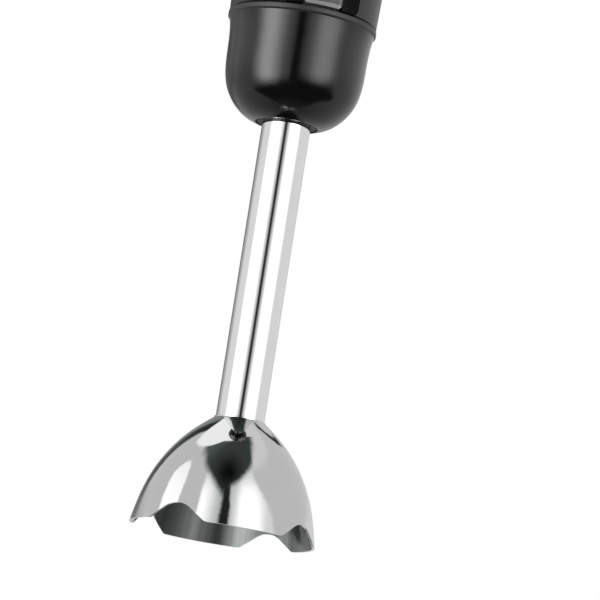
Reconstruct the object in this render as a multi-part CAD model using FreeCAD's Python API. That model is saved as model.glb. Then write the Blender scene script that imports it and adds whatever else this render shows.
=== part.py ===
"""Corded immersion blender with a detachable blending stick, as separate solids in millimetres.

+Z is up along the shaft, the bell's teeth stand on z = 0 and the front, with the buttons, faces -Y.
"""
import FreeCAD
import Part
import math
import os

# ---- Driving dimensions, in millimetres and degrees ----

# Fits between pieces
seat_gap = 0.05         # pressed or glued seat in one assembly, per side
slip_gap = 0.25         # plain sliding clearance, per side
bush_gap = 0.04         # running clearance of a shaft in its bush, radial
soft_gap = 0.12         # soft piece beside a turning piece

# Shaft tube
tube_od = 19.0
tube_wall = 0.8
tube_shown = 117.5
tube_in_bell = 5.5
tube_in_cup = 20.0

# Bell guard
bell_rim_r = 35.9
bell_shoulder_r = 31.1
bell_shoulder_z = 18.0
bell_crown_r = 19.7
bell_crown_drop = 8.5
bell_height = 44.5
bell_wall = 1.0
bell_rim_slope = 79.0
bell_neck_wall = 0.5
bell_neck_up = 0.5
bell_neck_edge = 0.2
bell_neck_down = 2.0
arch_count = 4
arch_height = 6.3
arch_top_r = 10.0
arch_flank = 35.0
tooth_round = 2.5

# Drive line in the stick
shaft_d = 6.0
shaft_below_blade = 5.7
shaft_in_star = 6.7
bush_wall = 2.4
lower_bush_len = 14.0
middle_bush_len = 9.0
upper_bush_len = 11.0
clip_groove_depth = 0.6
clip_thick = 0.8
clip_wide = 1.6

# Lower bearing housing and seal
hub_plug_len = 18.0
hub_flange_r = 12.6
hub_flange_len = 4.5
hub_nose_r = 9.0
hub_nose_len = 6.5
seal_wall = 3.6
seal_len = 5.0

# Blade
blade_thick = 1.4
blade_spacer_len = 8.0
blade_spacer_gap = 0.4
blade_tip_r = 24.0
blade_width = 11.0
blade_tip_width = 6.0
blade_fold_r = 11.0
blade_fold = 22.0
blade_bevel = 32.0
blade_cap_r = 5.2
blade_collar_r = 6.2

# Collar cup
cup_floor_r = 12.8
cup_turn_r = 20.0
cup_turn_rise = 4.0
cup_side_r = 25.4
cup_side_rise = 11.8
cup_body_r = 27.4
cup_body_rise = 26.0
cup_rim_r = 28.5
cup_height = 39.2
cup_wall = 2.2
exit_ring_wall = 2.8
exit_ring_len = 3.2

# Seam band, spigot and socket between stick and handle
band_height = 2.6
band_r = 29.2
seam_gap = 0.3
spigot_r = 21.5
spigot_wall = 3.6
spigot_rise = 12.0
spigot_floor = 2.5
groove_depth = 1.5
groove_width = 2.8
groove_rise = 6.3
socket_wall = 2.8
socket_roof = 2.5
core_plate = 4.0
core_sleeve_wall = 2.6
core_tower_wall = 2.4
core_screw_count = 3
core_screw_ring_r = 17.5
core_screw_r = 1.5
core_screw_len = 9.0
core_screw_head_r = 2.8
core_post_wall = 1.7

# Couplings
star_core_r = 4.2
star_reach = 5.9
star_lobe = 2.6
star_height = 9.5
coupling_disc_r = 7.0
coupling_disc = 2.2
socket_coupling_r = 8.2
coupling_roof = 0.8

# Handle: the motor's bay, the grip above it, and the outline's radii and heights
motor_bay_length = 98.7
grip_bay_length = 71.3
handle_base_step = 0.3
handle_belly_more = 0.6
handle_belly_rise = 28.0
handle_motor_below = 34.7
handle_neck_less = 1.7
handle_neck_below = 4.7
handle_grip_r = 24.9
handle_grip_drop = 39.0
handle_top_r = 25.6
handle_wall = 2.4
foot_bevel = 0.5
cap_height = 14.5
cap_joint = 0.3
cap_flat_r = 9.5
cap_skirt = 8.0
cap_skirt_wall = 2.0

# Front panel
panel_half_width = 15.0
panel_top_margin = 8.0
panel_round_low = 3.0
panel_round_top = 13.0
panel_gap = 0.3
lip_thick = 1.4
lip_reach = 3.0
lip_low_gap = 1.3

# Vents in the back of the grip
vent_count = 6
vent_width = 2.2
vent_height = 14.0
vent_pitch = 5.0
vent_rise = 22.0

# Release button and clip
release_half_width = 7.6
release_low = 0.8
release_height = 17.5
release_round = 1.6
release_proud = 1.0
release_bevel = 1.3
release_bevel_land = 0.15
release_bevel_low = 0.1
release_travel = 2.0
release_flange = 1.0
release_flange_lip = 1.0
socket_notch = 1.0
socket_notch_in = 3.0
clip_wire_r = 0.7
clip_ring_over = 1.4
clip_front_gap = 27.0

# Speed and turbo buttons
button_half_width = 7.5
button_height = 20.0
button_round = 6.0
button_proud = 0.9
button_travel = 1.5
button_flange = 1.4
button_flange_lip = 1.0
button_low_margin = 5.3
button_pitch = 24.0
button_stem_r = 2.0

# Motor
can_r = 19.0
can_wall = 1.5
motor_shaft_d = 5.0
magnet_thick = 3.0
magnet_half_angle = 62.0
magnet_over = 1.5
motor_air_gap = 0.7
armature_room_low = 9.0
armature_room_high = 8.0
slot_count = 8
slot_width = 3.0
slot_depth = 6.0
winding_end = 5.0
winding_inset = 1.4
ball_bearing_r = 7.0
ball_bearing_width = 5.0
commutator_r = 6.5
commutator_length = 7.0
end_cap_depth = 11.0
end_cap_roof = 2.0
end_cap_wall = 2.0
fan_gap = 1.2
fan_hub_r = 5.5
fan_height = 6.0
fan_disc = 1.0
fan_blade_count = 9
fan_blade_thick = 1.2
brush_wide = 5.8
brush_tall = 4.8
brush_length = 5.0
brush_holder_wall = 0.6
brush_spring_turns = 4
brush_spring_wire_r = 0.3

# Motor carrier and its rubber mounts
carrier_wall = 1.8
carrier_gap = 0.5
carrier_plate = 3.0
carrier_head_room = 2.0
fan_room = 12.0
mount_height = 6.0
mount_wall = 5.0
mount_inset = 5.0
air_window_count = 4
air_window_height = 7.0
air_window_width = 15.0
motor_screw_ring_r = 13.5
motor_screw_r = 1.5

# Inner frame, circuit board and switches
frame_plate = 2.0
frame_half_width = 15.0
frame_foot = 2.0
frame_face_y = -6.2
board_thick = 1.6
board_half_width = 8.5
board_end_gap = 1.0
post_pitch = 22.0
switch_depth = 4.9
switch_tall = 6.4
switch_half_width = 6.3
plunger_r = 1.4
plunger_rise = 0.5
membrane_thick = 1.0
membrane_half_width = 12.3
membrane_dome_r = 4.2
membrane_dome_spare = 0.4
membrane_clear = 0.6
post_r = 1.7
post_x = 10.6
post_screw_r = 0.9

# Screws that hold the grip shell to the inner frame
housing_screw_r = 1.5
housing_screw_head_r = 2.9
housing_screw_head = 1.6
housing_screw_len = 12.0
housing_boss_wall = 1.7

# Cord inlet and clamp
cord_r = 3.5
gland_wall = 2.4
gland_head_r = 8.2
gland_head = 2.2
gland_depth = 9.0
clamp_half_width = 9.5
clamp_thick = 3.0
clamp_height = 6.5
clamp_screw_x = 6.8
clamp_screw_r = 1.2

# ---- Values worked out from the sizes above ----

tube_r = tube_od / 2
tube_bore_r = tube_r - tube_wall
shaft_r = shaft_d / 2
shaft_bore_r = shaft_r + bush_gap
bush_r = shaft_r + bush_wall
motor_shaft_r = motor_shaft_d / 2

cup_floor_z = bell_height + tube_shown
tube_low_z = bell_height - tube_in_bell
tube_top_z = cup_floor_z + tube_in_cup
hub_flange_low_z = tube_low_z - hub_flange_len
hub_low_z = hub_flange_low_z - hub_nose_len
seal_r = shaft_r + seal_wall
lower_bush_z = hub_low_z + seal_len + 1.5
upper_bush_z = tube_top_z + 1.5
middle_bush_z = (tube_low_z + tube_top_z - middle_bush_len) / 2
blade_top_z = hub_low_z - blade_spacer_gap - blade_spacer_len
blade_z = blade_top_z - blade_thick
shaft_low_z = blade_z - shaft_below_blade

cup_rim_z = cup_floor_z + cup_height
seam_z = cup_rim_z + band_height
handle_z = seam_z + seam_gap
spigot_top_z = seam_z + spigot_rise
spigot_bore_r = spigot_r - spigot_wall
groove_z = seam_z + groove_rise
socket_bore_r = spigot_r + slip_gap
clip_ring_r = spigot_r + clip_ring_over
socket_r = socket_bore_r + socket_wall
socket_roof_z = spigot_top_z + 1.5
socket_top_z = socket_roof_z + socket_roof

star_low_z = spigot_top_z - 1.5 - star_height
coupling_mouth_z = star_low_z + 1.5
coupling_roof_z = star_low_z + star_height + coupling_roof
coupling_top_z = socket_top_z + 1.0
shaft_top_z = star_low_z + shaft_in_star

handle_length = motor_bay_length + grip_bay_length
handle_top_z = handle_z + handle_length
cap_top_z = handle_top_z + cap_height
frame_low_z = handle_z + motor_bay_length
frame_top_z = handle_top_z - cap_skirt - 0.5
board_low_z = frame_low_z + frame_foot + board_end_gap
board_length = frame_top_z - board_end_gap - board_low_z

carrier_bore_r = can_r + carrier_gap
carrier_r = carrier_bore_r + carrier_wall
carrier_plate_z = socket_top_z + fan_room
carrier_top_z = frame_low_z
shaft_end_z = carrier_top_z - carrier_head_room
rear_bearing_z = shaft_end_z - ball_bearing_width
can_low_z = carrier_plate_z + carrier_plate
can_top_z = rear_bearing_z - end_cap_depth
front_bearing_z = can_low_z - 2.5
commutator_z = can_top_z + 1.0
brush_z = commutator_z + commutator_length / 2
armature_z = can_low_z + armature_room_low
armature_length = can_top_z - armature_room_high - armature_z
armature_r = can_r - can_wall - magnet_thick - motor_air_gap
magnet_length = armature_length + 2 * magnet_over
winding_r = armature_r - winding_inset
fan_r = carrier_bore_r - fan_gap

handle_motor_r = carrier_r + mount_wall + handle_wall
handle_neck_r = handle_motor_r - handle_neck_less
handle_base_r = band_r - handle_base_step
handle_belly_r = handle_base_r + handle_belly_more
board_back_y = frame_face_y - 0.2
board_face_y = board_back_y - board_thick
switch_face_y = board_face_y - switch_depth
membrane_back_y = switch_face_y - plunger_rise - membrane_clear
membrane_face_y = membrane_back_y - membrane_thick
dome_rise = button_travel + membrane_dome_spare
dome_face_y = membrane_face_y - dome_rise
turbo_z = frame_low_z + button_low_margin + button_height / 2
speed_z = turbo_z + button_pitch
release_low_z = handle_z + release_low
release_top_z = release_low_z + release_height
release_back_y = -(spigot_r + slip_gap + release_travel)

far = 60.0              # reach of a cutting block past the object


# ---- Shape helpers ----

def vec(x, y, z):
    return FreeCAD.Vector(x, y, z)


UP = vec(0, 0, 1)


def spun(edges):
    """Solid of revolution about Z from a closed outline in the XZ plane."""
    face = Part.Face(Part.Wire(Part.__sortEdges__(edges)))
    return face.revolve(vec(0, 0, 0), UP, 360)


def line(a, b):
    return Part.LineSegment(vec(a[0], 0, a[1]), vec(b[0], 0, b[1])).toShape()


def rounded_edges(corners, place):
    """Edges of a closed outline whose corners are (a, b, radius); place turns (a, b) into a point."""
    count = len(corners)
    starts = []
    ends = []
    arcs = []
    for i in range(count):
        a, b, radius = corners[i]
        pa, pb = corners[i - 1][:2]
        na, nb = corners[(i + 1) % count][:2]
        before = math.hypot(pa - a, pb - b)
        after = math.hypot(na - a, nb - b)
        ua, ub = (pa - a) / before, (pb - b) / before
        wa, wb = (na - a) / after, (nb - b) / after
        half = math.acos(max(-1.0, min(1.0, ua * wa + ub * wb))) / 2
        cut = 0.0
        if radius > 0 and half < math.pi / 2 - 1e-6:
            cut = min(radius / math.tan(half), 0.49 * before, 0.49 * after)
        start = (a + ua * cut, b + ub * cut)
        end = (a + wa * cut, b + wb * cut)
        starts.append(start)
        ends.append(end)
        if cut > 0:
            used = cut * math.tan(half)
            ma, mb = ua + wa, ub + wb
            size = math.hypot(ma, mb)
            reach = used / math.sin(half) - used
            middle = (a + ma / size * reach, b + mb / size * reach)
            arcs.append(Part.Arc(place(*start), place(*middle), place(*end)).toShape())
    edges = list(arcs)
    for i in range(count):
        here = ends[i]
        there = starts[(i + 1) % count]
        if math.hypot(here[0] - there[0], here[1] - there[1]) > 1e-6:
            edges.append(Part.LineSegment(place(*here), place(*there)).toShape())
    return edges


def turned(*corners):
    """Solid of revolution from corners (r, z) or (r, z, radius)."""
    full = [c if len(c) == 3 else (c[0], c[1], 0) for c in corners]
    return spun(rounded_edges(full, lambda r, z: vec(r, 0, z)))


def ring(r_in, r_out, z_low, z_high, edge=0.0):
    """Plain ring or disc with its outer corners rounded by edge."""
    return turned((r_in, z_low), (r_out, z_low, edge), (r_out, z_high, edge), (r_in, z_high))


def front_prism(corners, y_low, y_high):
    """Prism along Y from an outline of corners (x, z, radius)."""
    edges = rounded_edges(corners, lambda x, z: vec(x, y_low, z))
    face = Part.Face(Part.Wire(Part.__sortEdges__(edges)))
    return face.extrude(vec(0, y_high - y_low, 0))


def plan_prism(corners, z_low, z_high):
    """Prism along Z from an outline of corners (x, y, radius)."""
    edges = rounded_edges(corners, lambda x, y: vec(x, y, z_low))
    face = Part.Face(Part.Wire(Part.__sortEdges__(edges)))
    return face.extrude(vec(0, 0, z_high - z_low))


def plate(half_width, z_low, z_high, radius, y_low, y_high):
    """Upright rounded plate centred on x = 0."""
    corners = [(-half_width, z_low, radius), (half_width, z_low, radius)]
    corners += [(half_width, z_high, radius), (-half_width, z_high, radius)]
    return front_prism(corners, y_low, y_high)


def block(x_low, x_high, y_low, y_high, z_low, z_high):
    size = (x_high - x_low, y_high - y_low, z_high - z_low)
    return Part.makeBox(size[0], size[1], size[2], vec(x_low, y_low, z_low))


def rod_z(radius, z_low, z_high, x, y):
    return Part.makeCylinder(radius, z_high - z_low, vec(x, y, z_low))


def rod_y(radius, y_low, y_high, x, z):
    return Part.makeCylinder(radius, y_high - y_low, vec(x, y_low, z), vec(0, 1, 0))


def spun_copy(shape, angle):
    copy = shape.copy()
    copy.rotate(vec(0, 0, 0), UP, angle)
    return copy


def around(shape, count, first=0.0):
    return [spun_copy(shape, first + 360.0 * i / count) for i in range(count)]


def fused(shapes):
    return shapes[0].multiFuse(shapes[1:]).removeSplitter()


def spline(points, first=None, last=None):
    """Smooth curve in the XZ plane through (r, z) points, with optional end directions."""
    curve = Part.BSplineCurve()
    places = [vec(r, 0, z) for r, z in points]
    if first is None:
        curve.interpolate(Points=places)
    else:
        curve.interpolate(
            Points=places, InitialTangent=vec(first[0], 0, first[1]), FinalTangent=vec(last[0], 0, last[1])
        )
    return curve


def inset(curve, distance, count=12):
    """Curve that runs at an even distance inside another one."""
    points = []
    for i in range(count + 1):
        t = curve.FirstParameter + (curve.LastParameter - curve.FirstParameter) * i / count
        place = curve.value(t)
        along = curve.tangent(t)[0]
        points.append((place.x - along.z * distance, place.z + along.x * distance))
    return spline(points)


def place_at(curve, z):
    """Parameter of an upward running curve at a height."""
    low = curve.FirstParameter
    high = curve.LastParameter
    for _ in range(50):
        middle = (low + high) / 2
        if curve.value(middle).z < z:
            low = middle
        else:
            high = middle
    return (low + high) / 2


def radius_at(curve, z):
    return curve.value(place_at(curve, z)).x


def part_of(curve, z_low, z_high):
    """The stretch of an upward running curve between two heights."""
    piece = curve.copy()
    piece.segment(place_at(curve, z_low), place_at(curve, z_high))
    return piece


def filled(curve):
    """Solid between a curve and the axis."""
    low = curve.value(curve.FirstParameter)
    high = curve.value(curve.LastParameter)
    edges = [curve.toShape(), line((high.x, high.z), (0, high.z)), line((0, high.z), (0, low.z))]
    edges.append(line((0, low.z), (low.x, low.z)))
    return spun(edges)


def screw(head_r, head_height, shank_r, length):
    """Pan head screw that points down, with the underside of its head at the origin."""
    head = ring(0, head_r, 0, head_height, head_height * 0.4)
    shank = turned((0, -length), (shank_r * 0.5, -length), (shank_r, -length + shank_r), (shank_r, 0), (0, 0))
    slot = head_r * 1.1
    drive = block(-slot / 2, slot / 2, -head_r * 0.14, head_r * 0.14, head_height * 0.45, head_height * 2)
    return fused([head, shank]).cut(fused([drive, spun_copy(drive, 90)]))


def put(shape, place, axis=None, angle=0.0):
    copy = shape.copy()
    if axis is not None:
        copy.rotate(vec(0, 0, 0), axis, angle)
    copy.translate(place)
    return copy


# ---- Shared outlines ----

def bell_curve():
    slope = math.radians(bell_rim_slope)
    points = [(bell_rim_r, 0), (bell_shoulder_r, bell_shoulder_z)]
    points.append((bell_crown_r, bell_height - bell_crown_drop))
    points.append((tube_r + bell_neck_wall, bell_height))
    scale = bell_height
    first = (-math.cos(slope) * scale, math.sin(slope) * scale)
    last = (-math.cos(math.radians(38)) * scale, math.sin(math.radians(38)) * scale)
    return spline(points, first, last)


def cup_curve():
    floor = cup_floor_z
    points = [(cup_floor_r, floor), (cup_turn_r, floor + cup_turn_rise)]
    points += [(cup_side_r, floor + cup_side_rise), (cup_body_r, floor + cup_body_rise)]
    points.append((cup_rim_r, cup_rim_z))
    return spline(points)


def handle_curve(proud=0.0):
    points = [(handle_base_r, 0), (handle_belly_r, handle_belly_rise)]
    points.append((handle_motor_r, motor_bay_length - handle_motor_below))
    points.append((handle_neck_r, motor_bay_length - handle_neck_below))
    points.append((handle_grip_r, handle_length - handle_grip_drop))
    points.append((handle_top_r, handle_length))
    return spline([(r + proud, handle_z + rise) for r, rise in points])


outer_skin = handle_curve()
inner_skin = handle_curve(-handle_wall)


# ---- Blending stick ----

def bell_guard():
    outer = bell_curve()
    shell = filled(outer).cut(filled(inset(outer, bell_wall)))
    neck_low = bell_height - bell_neck_down
    neck_r = tube_r + bell_neck_wall
    neck = ring(0, neck_r, neck_low, bell_height + bell_neck_up, bell_neck_edge)
    bell = shell.fuse(neck)
    bell = bell.cut(ring(0, tube_r + seat_gap, neck_low - 5, bell_height + bell_neck_up + 5))
    return bell.cut(fused(around(arch_cutter(), arch_count, 180.0 / arch_count)))


def arch_cutter():
    """Prism towards -Y with a round top and sloping flanks, and rounded tooth corners beside it."""
    flank = math.radians(arch_flank)
    centre_z = arch_height - arch_top_r
    top_x = arch_top_r * math.sin(flank)
    top_z = centre_z + arch_top_r * math.cos(flank)
    foot_x = top_x + top_z / math.tan(flank)
    corner = tooth_round * math.tan(flank / 2)
    low = -2.0
    y = -(bell_rim_r + 4)

    def place(x, z):
        return vec(x, y, z)

    edges = []
    for side in (-1, 1):
        foot = (foot_x + corner) * side
        rise = ((foot_x - corner * math.cos(flank)) * side, corner * math.sin(flank))
        middle = (foot - tooth_round * math.sin(flank / 2) * side, tooth_round * (1 - math.cos(flank / 2)))
        edges.append(Part.LineSegment(place(foot, low), place(foot, 0)).toShape())
        edges.append(Part.Arc(place(foot, 0), place(*middle), place(*rise)).toShape())
        edges.append(Part.LineSegment(place(*rise), place(top_x * side, top_z)).toShape())
    edges.append(Part.Arc(place(-top_x, top_z), place(0, arch_height), place(top_x, top_z)).toShape())
    edges.append(Part.LineSegment(place(-foot_x - corner, low), place(foot_x + corner, low)).toShape())
    face = Part.Face(Part.Wire(Part.__sortEdges__(edges)))
    return face.extrude(vec(0, bell_rim_r * 0.6, 0))


def shaft_tube():
    return ring(tube_bore_r, tube_r, tube_low_z, tube_top_z)


def lower_bearing_housing():
    plug_r = tube_bore_r - seat_gap
    top = tube_low_z + hub_plug_len
    body = turned(
        (0, hub_low_z), (hub_nose_r, hub_low_z, 1.2), (hub_nose_r, hub_flange_low_z),
        (hub_flange_r, hub_flange_low_z + 1.0, 0.8), (hub_flange_r, tube_low_z, 0.8),
        (plug_r, tube_low_z), (plug_r, top, 0.8), (0, top),
    )
    body = body.cut(ring(0, seal_r + seat_gap, hub_low_z - 1, hub_low_z + seal_len))
    body = body.cut(ring(0, shaft_r + 1.0, hub_low_z - 1, top + 1))
    return body.cut(ring(0, bush_r + seat_gap, lower_bush_z, top + 1))


def bush(z_low, length):
    return ring(shaft_bore_r, bush_r, z_low, z_low + length, 0.4)


def lip_seal():
    lip_r = shaft_r + soft_gap
    body = turned(
        (lip_r, hub_low_z + 0.2), (seal_r - 1.4, hub_low_z + 0.2), (seal_r, hub_low_z + 0.5),
        (seal_r, hub_low_z + seal_len - 0.2), (lip_r + 1.0, hub_low_z + seal_len - 0.2),
        (lip_r + 1.0, hub_low_z + seal_len / 2),
    )
    spring_groove = Part.makeTorus(seal_r - 1.2, 0.35, vec(0, 0, hub_low_z + 0.2), UP)
    return body.cut(spring_groove)


def middle_bush():
    outer_r = tube_bore_r - seat_gap
    low = middle_bush_z
    high = low + middle_bush_len
    body = ring(shaft_r + slip_gap, outer_r, low, high, 0.5)
    flute = Part.makeCylinder(1.6, middle_bush_len + 2, vec((shaft_r + outer_r) / 2, 0, low - 1))
    return body.cut(fused(around(flute, 6)))


def stick_core():
    """Moulded core that grips the tube's upper end, carries the upper bush and fills the cup."""
    sleeve_r = tube_r + core_sleeve_wall
    tower_r = bush_r + core_tower_wall
    plate_top = tube_top_z + core_plate
    plate_r = radius_at(inset(cup_curve(), cup_wall), tube_top_z) - slip_gap
    top = upper_bush_z + upper_bush_len
    sleeve_low = cup_floor_z + exit_ring_len
    body = turned(
        (tube_r + seat_gap, sleeve_low), (sleeve_r, sleeve_low), (sleeve_r, tube_top_z - 2, 1.5),
        (plate_r, tube_top_z, 0.6), (plate_r, plate_top, 0.6), (tower_r, plate_top, 1.0), (tower_r, top, 0.6),
        (shaft_r + 1.0, top), (shaft_r + 1.0, tube_top_z), (tube_r + seat_gap, tube_top_z),
    )
    post_top = cup_rim_z - spigot_floor
    post = rod_z(core_screw_r + core_post_wall, plate_top - 1, post_top, 0, -core_screw_ring_r)
    rib = block(-0.8, 0.8, -plate_r + 2, -sleeve_r + 1, sleeve_low + 9, tube_top_z)
    body = fused([body] + around(post, core_screw_count) + around(rib, core_screw_count, 60))
    body = body.cut(ring(0, bush_r + seat_gap, upper_bush_z, top + 1))
    pilot_low = post_top - core_screw_len
    pilot = rod_z(core_screw_r + seat_gap, pilot_low, post_top + 1, 0, -core_screw_ring_r)
    return body.cut(fused(around(pilot, core_screw_count)))


def core_screws():
    one = screw(core_screw_head_r, 1.9, core_screw_r, spigot_floor + core_screw_len - 1.5)
    one = put(one, vec(0, -core_screw_ring_r, cup_rim_z))
    return Part.makeCompound(around(one, core_screw_count))


def tube_exit_ring():
    outer_r = tube_r + exit_ring_wall
    top = cup_floor_z + exit_ring_len
    return turned(
        (tube_r + seat_gap, cup_floor_z + 0.4), (outer_r - 0.8, cup_floor_z + 0.1, 0.3),
        (outer_r, cup_floor_z + 0.6), (outer_r, top), (tube_r + seat_gap, top),
    )


def collar_cup():
    outer = cup_curve()
    shell = filled(outer).cut(filled(inset(outer, cup_wall)))
    hole_r = tube_r + exit_ring_wall + seat_gap
    return shell.cut(ring(0, hole_r, cup_floor_z - 1, cup_floor_z + cup_wall * 2))


def coupling_spigot():
    """Ring that plugs into the handle, with the clip's groove and a floor inside the cup's rim."""
    floor_low = cup_rim_z - spigot_floor
    flange_r = radius_at(inset(cup_curve(), cup_wall), floor_low) - seat_gap
    groove_r = spigot_r - groove_depth
    half = groove_width / 2
    tower_r = bush_r + core_tower_wall
    body = turned(
        (tower_r + slip_gap, floor_low), (flange_r, floor_low, 0.4),
        (flange_r, cup_rim_z), (spigot_r, cup_rim_z),
        (spigot_r, groove_z - half), (groove_r, groove_z - half), (groove_r, groove_z + half),
        (spigot_r, groove_z + half), (spigot_r, spigot_top_z, 1.0), (spigot_bore_r, spigot_top_z, 0.6),
        (spigot_bore_r, cup_rim_z, 0), (tower_r + slip_gap, cup_rim_z),
    )
    hole = rod_z(core_screw_r + slip_gap, floor_low - 1, cup_rim_z + 1, 0, -core_screw_ring_r)
    spot = rod_z(core_screw_head_r + 0.5, cup_rim_z, cup_rim_z + 4, 0, -core_screw_ring_r)
    body = body.cut(fused(around(hole, core_screw_count)))
    return body.cut(fused(around(spot, core_screw_count)))


def seam_band():
    return turned(
        (spigot_r + seat_gap, cup_rim_z + 0.02), (band_r - 0.8, cup_rim_z + 0.02),
        (band_r, cup_rim_z + 0.6, 0.3),
        (band_r, seam_z, 0.5), (spigot_r + seat_gap, seam_z),
    )


# ---- Drive line in the stick ----

def drive_shaft():
    body = ring(0, shaft_r, shaft_low_z, shaft_top_z, 0.6)
    groove_low = upper_bush_z + upper_bush_len + 0.3
    return body.cut(ring(shaft_r - clip_groove_depth, shaft_r + 1, groove_low, groove_low + clip_thick + 0.1))


def retaining_clip():
    """Open spring ring in the shaft's groove above the upper bush."""
    low = upper_bush_z + upper_bush_len + 0.35
    inner_r = shaft_r - clip_groove_depth + 0.05
    body = ring(inner_r, shaft_r + clip_wide, low, low + clip_thick)
    return body.cut(block(0, far, -1.3, 1.3, low - 1, low + 2))


def blade():
    """Two wings on a flat hub plate, one folded up and one folded down."""
    low = blade_z
    high = blade_z + blade_thick
    half = blade_width / 2
    hub = block(-blade_fold_r, blade_fold_r, -half, half, low, high)
    tip = blade_tip_width / 2
    root = blade_fold_r - 0.6
    corners = [(root, -half, 0), (blade_tip_r, -tip, 1.5), (blade_tip_r, tip + 1.5, 2.5), (root, half, 0)]
    wing = plan_prism(corners, low, high)
    bevel = block(blade_fold_r + 1.5, far, -far, 0, -far, 0)
    bevel = put(bevel, vec(0, -tip + 0.6, low + 0.3), vec(1, 0, 0), blade_bevel)
    wing = wing.cut(bevel)
    folded = []
    for side in (1, -1):
        one = wing.copy()
        one.rotate(vec(blade_fold_r, 0, blade_z + blade_thick / 2), vec(0, 1, 0), -side * blade_fold)
        folded.append(spun_copy(one, 0 if side > 0 else 180))
    body = fused([hub] + folded)
    return body.cut(ring(0, shaft_r + seat_gap, low - 2, high + 2))


def blade_spacer():
    """Collar between the blade and the seal."""
    low = blade_top_z
    high = hub_low_z - blade_spacer_gap
    return turned(
        (shaft_r + seat_gap, low), (blade_collar_r - 1.0, low), (blade_collar_r - 1.0, high - 2.4, 0.6),
        (blade_collar_r, high - 1.2, 0.4), (blade_collar_r, high, 0.3), (shaft_r + seat_gap, high),
    )


def blade_cap():
    """Domed nut that holds the blade from below."""
    low = shaft_low_z - 1.5
    body = turned(
        (0, low), (blade_cap_r * 0.6, low, 1.0), (blade_cap_r, low + 2.2, 1.0),
        (blade_cap_r, blade_z, 0.3), (0, blade_z),
    )
    flat = block(blade_cap_r * 0.86, far, -far, far, low - 1, blade_z - 1.2)
    body = body.cut(fused(around(flat, 6)))
    return body.cut(ring(0, shaft_r + seat_gap, shaft_low_z - 0.1, blade_z + 1))


def star(grow, z_low, z_high):
    """Star section of the drive coupling, with its flanks moved out by grow."""
    core = Part.makeCylinder(star_core_r + grow, z_high - z_low, vec(0, 0, z_low))
    half = star_lobe / 2 + grow
    reach = star_reach + grow
    lobes = [
        spun_copy(block(-reach, reach, -half, half, z_low, z_high), angle) for angle in (0, 60, 120)
    ]
    return fused([core] + lobes)


def driven_coupling():
    disc_low = star_low_z - coupling_disc
    disc = ring(0, coupling_disc_r, disc_low, star_low_z, 0.4)
    body = fused([disc, star(0, star_low_z - 0.2, star_low_z + star_height)])
    return body.cut(ring(0, shaft_r + seat_gap, disc_low - 1, shaft_top_z + 0.2))


# ---- Handle shells ----

def skin_shell(proud_out=0.0, depth=None):
    """Round shell of the handle between two distances inside its outline."""
    thickness = handle_wall if depth is None else depth
    return filled(handle_curve(proud_out)).cut(filled(handle_curve(proud_out - thickness)))


def panel_prism(grow):
    """Prism through the front panel's outline, moved out by grow."""
    half = panel_half_width + grow
    low = handle_z - grow
    high = handle_top_z - panel_top_margin + grow
    low_round = panel_round_low + grow
    top_round = panel_round_top + grow
    corners = [(-half, low, low_round), (half, low, low_round)]
    corners += [(half, high, top_round), (-half, high, top_round)]
    return front_prism(corners, -far, 0)


def foot_chamfer():
    """Ring that bevels the outer edge of the handle's foot."""
    low = handle_z - 0.01
    return turned(
        (handle_base_r - foot_bevel, low), (handle_base_r + 1, low), (handle_base_r + 1, low + foot_bevel + 1)
    )


def grip_shell():
    shell = skin_shell()
    shell = shell.cut(panel_prism(panel_gap)).cut(foot_chamfer())
    slots = []
    for i in range(vent_count):
        x = (i - (vent_count - 1) / 2) * vent_pitch
        z = handle_z + vent_rise
        corners = [(x - vent_width / 2, z, 1.0), (x + vent_width / 2, z, 1.0)]
        corners += [(x + vent_width / 2, z + vent_height, 1.0), (x - vent_width / 2, z + vent_height, 1.0)]
        slots.append(front_prism(corners, 1, far))
    shell = shell.cut(fused(slots))
    for z in housing_screw_heights():
        face = housing_screw_face_y(z)
        shell = shell.cut(rod_y(housing_screw_head_r + slip_gap, face, far, 0, z))
        shell = shell.cut(rod_y(housing_screw_r + slip_gap, 0, far, 0, z))
    return shell


def front_panel():
    body = skin_shell().common(panel_prism(0)).cut(foot_chamfer())
    lip_low = frame_low_z + lip_low_gap
    lip_high = handle_top_z - panel_top_margin - panel_round_top
    half = panel_half_width + lip_reach
    lip_zone = block(-half, half, -far, 0, lip_low, lip_high)
    middle = block(-membrane_half_width - 0.4, membrane_half_width + 0.4, -far, 0, lip_low - 1, lip_high + 1)
    lip = skin_shell(-handle_wall - 0.15, lip_thick).common(lip_zone).cut(middle)
    bridge = skin_shell(-handle_wall + 0.6, lip_thick + 0.15).common(lip_zone)
    bridge = bridge.common(block(-panel_half_width, panel_half_width, -far, 0, lip_low, lip_high)).cut(middle)
    body = fused([body, lip, bridge])
    for z in (speed_z, turbo_z):
        body = body.cut(button_prism(z, slip_gap))
    return body.cut(release_prism(slip_gap)).cut(release_notch(release_half_width + slip_gap))


def button_prism(z, grow):
    half = button_height / 2
    return plate(button_half_width + grow, z - half - grow, z + half + grow, button_round + grow, -far, -12)


def release_prism(grow, inside=0.0):
    out = grow - inside
    round_r = max(0.2, release_round + out)
    return plate(release_half_width + out, release_low_z - out, release_top_z + out, round_r, -far, -20)


def release_notch(half):
    """Block that opens the release button's window through the handle's foot."""
    return block(-half, half, -far, -20, handle_z - 1, release_low_z + release_round)


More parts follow.
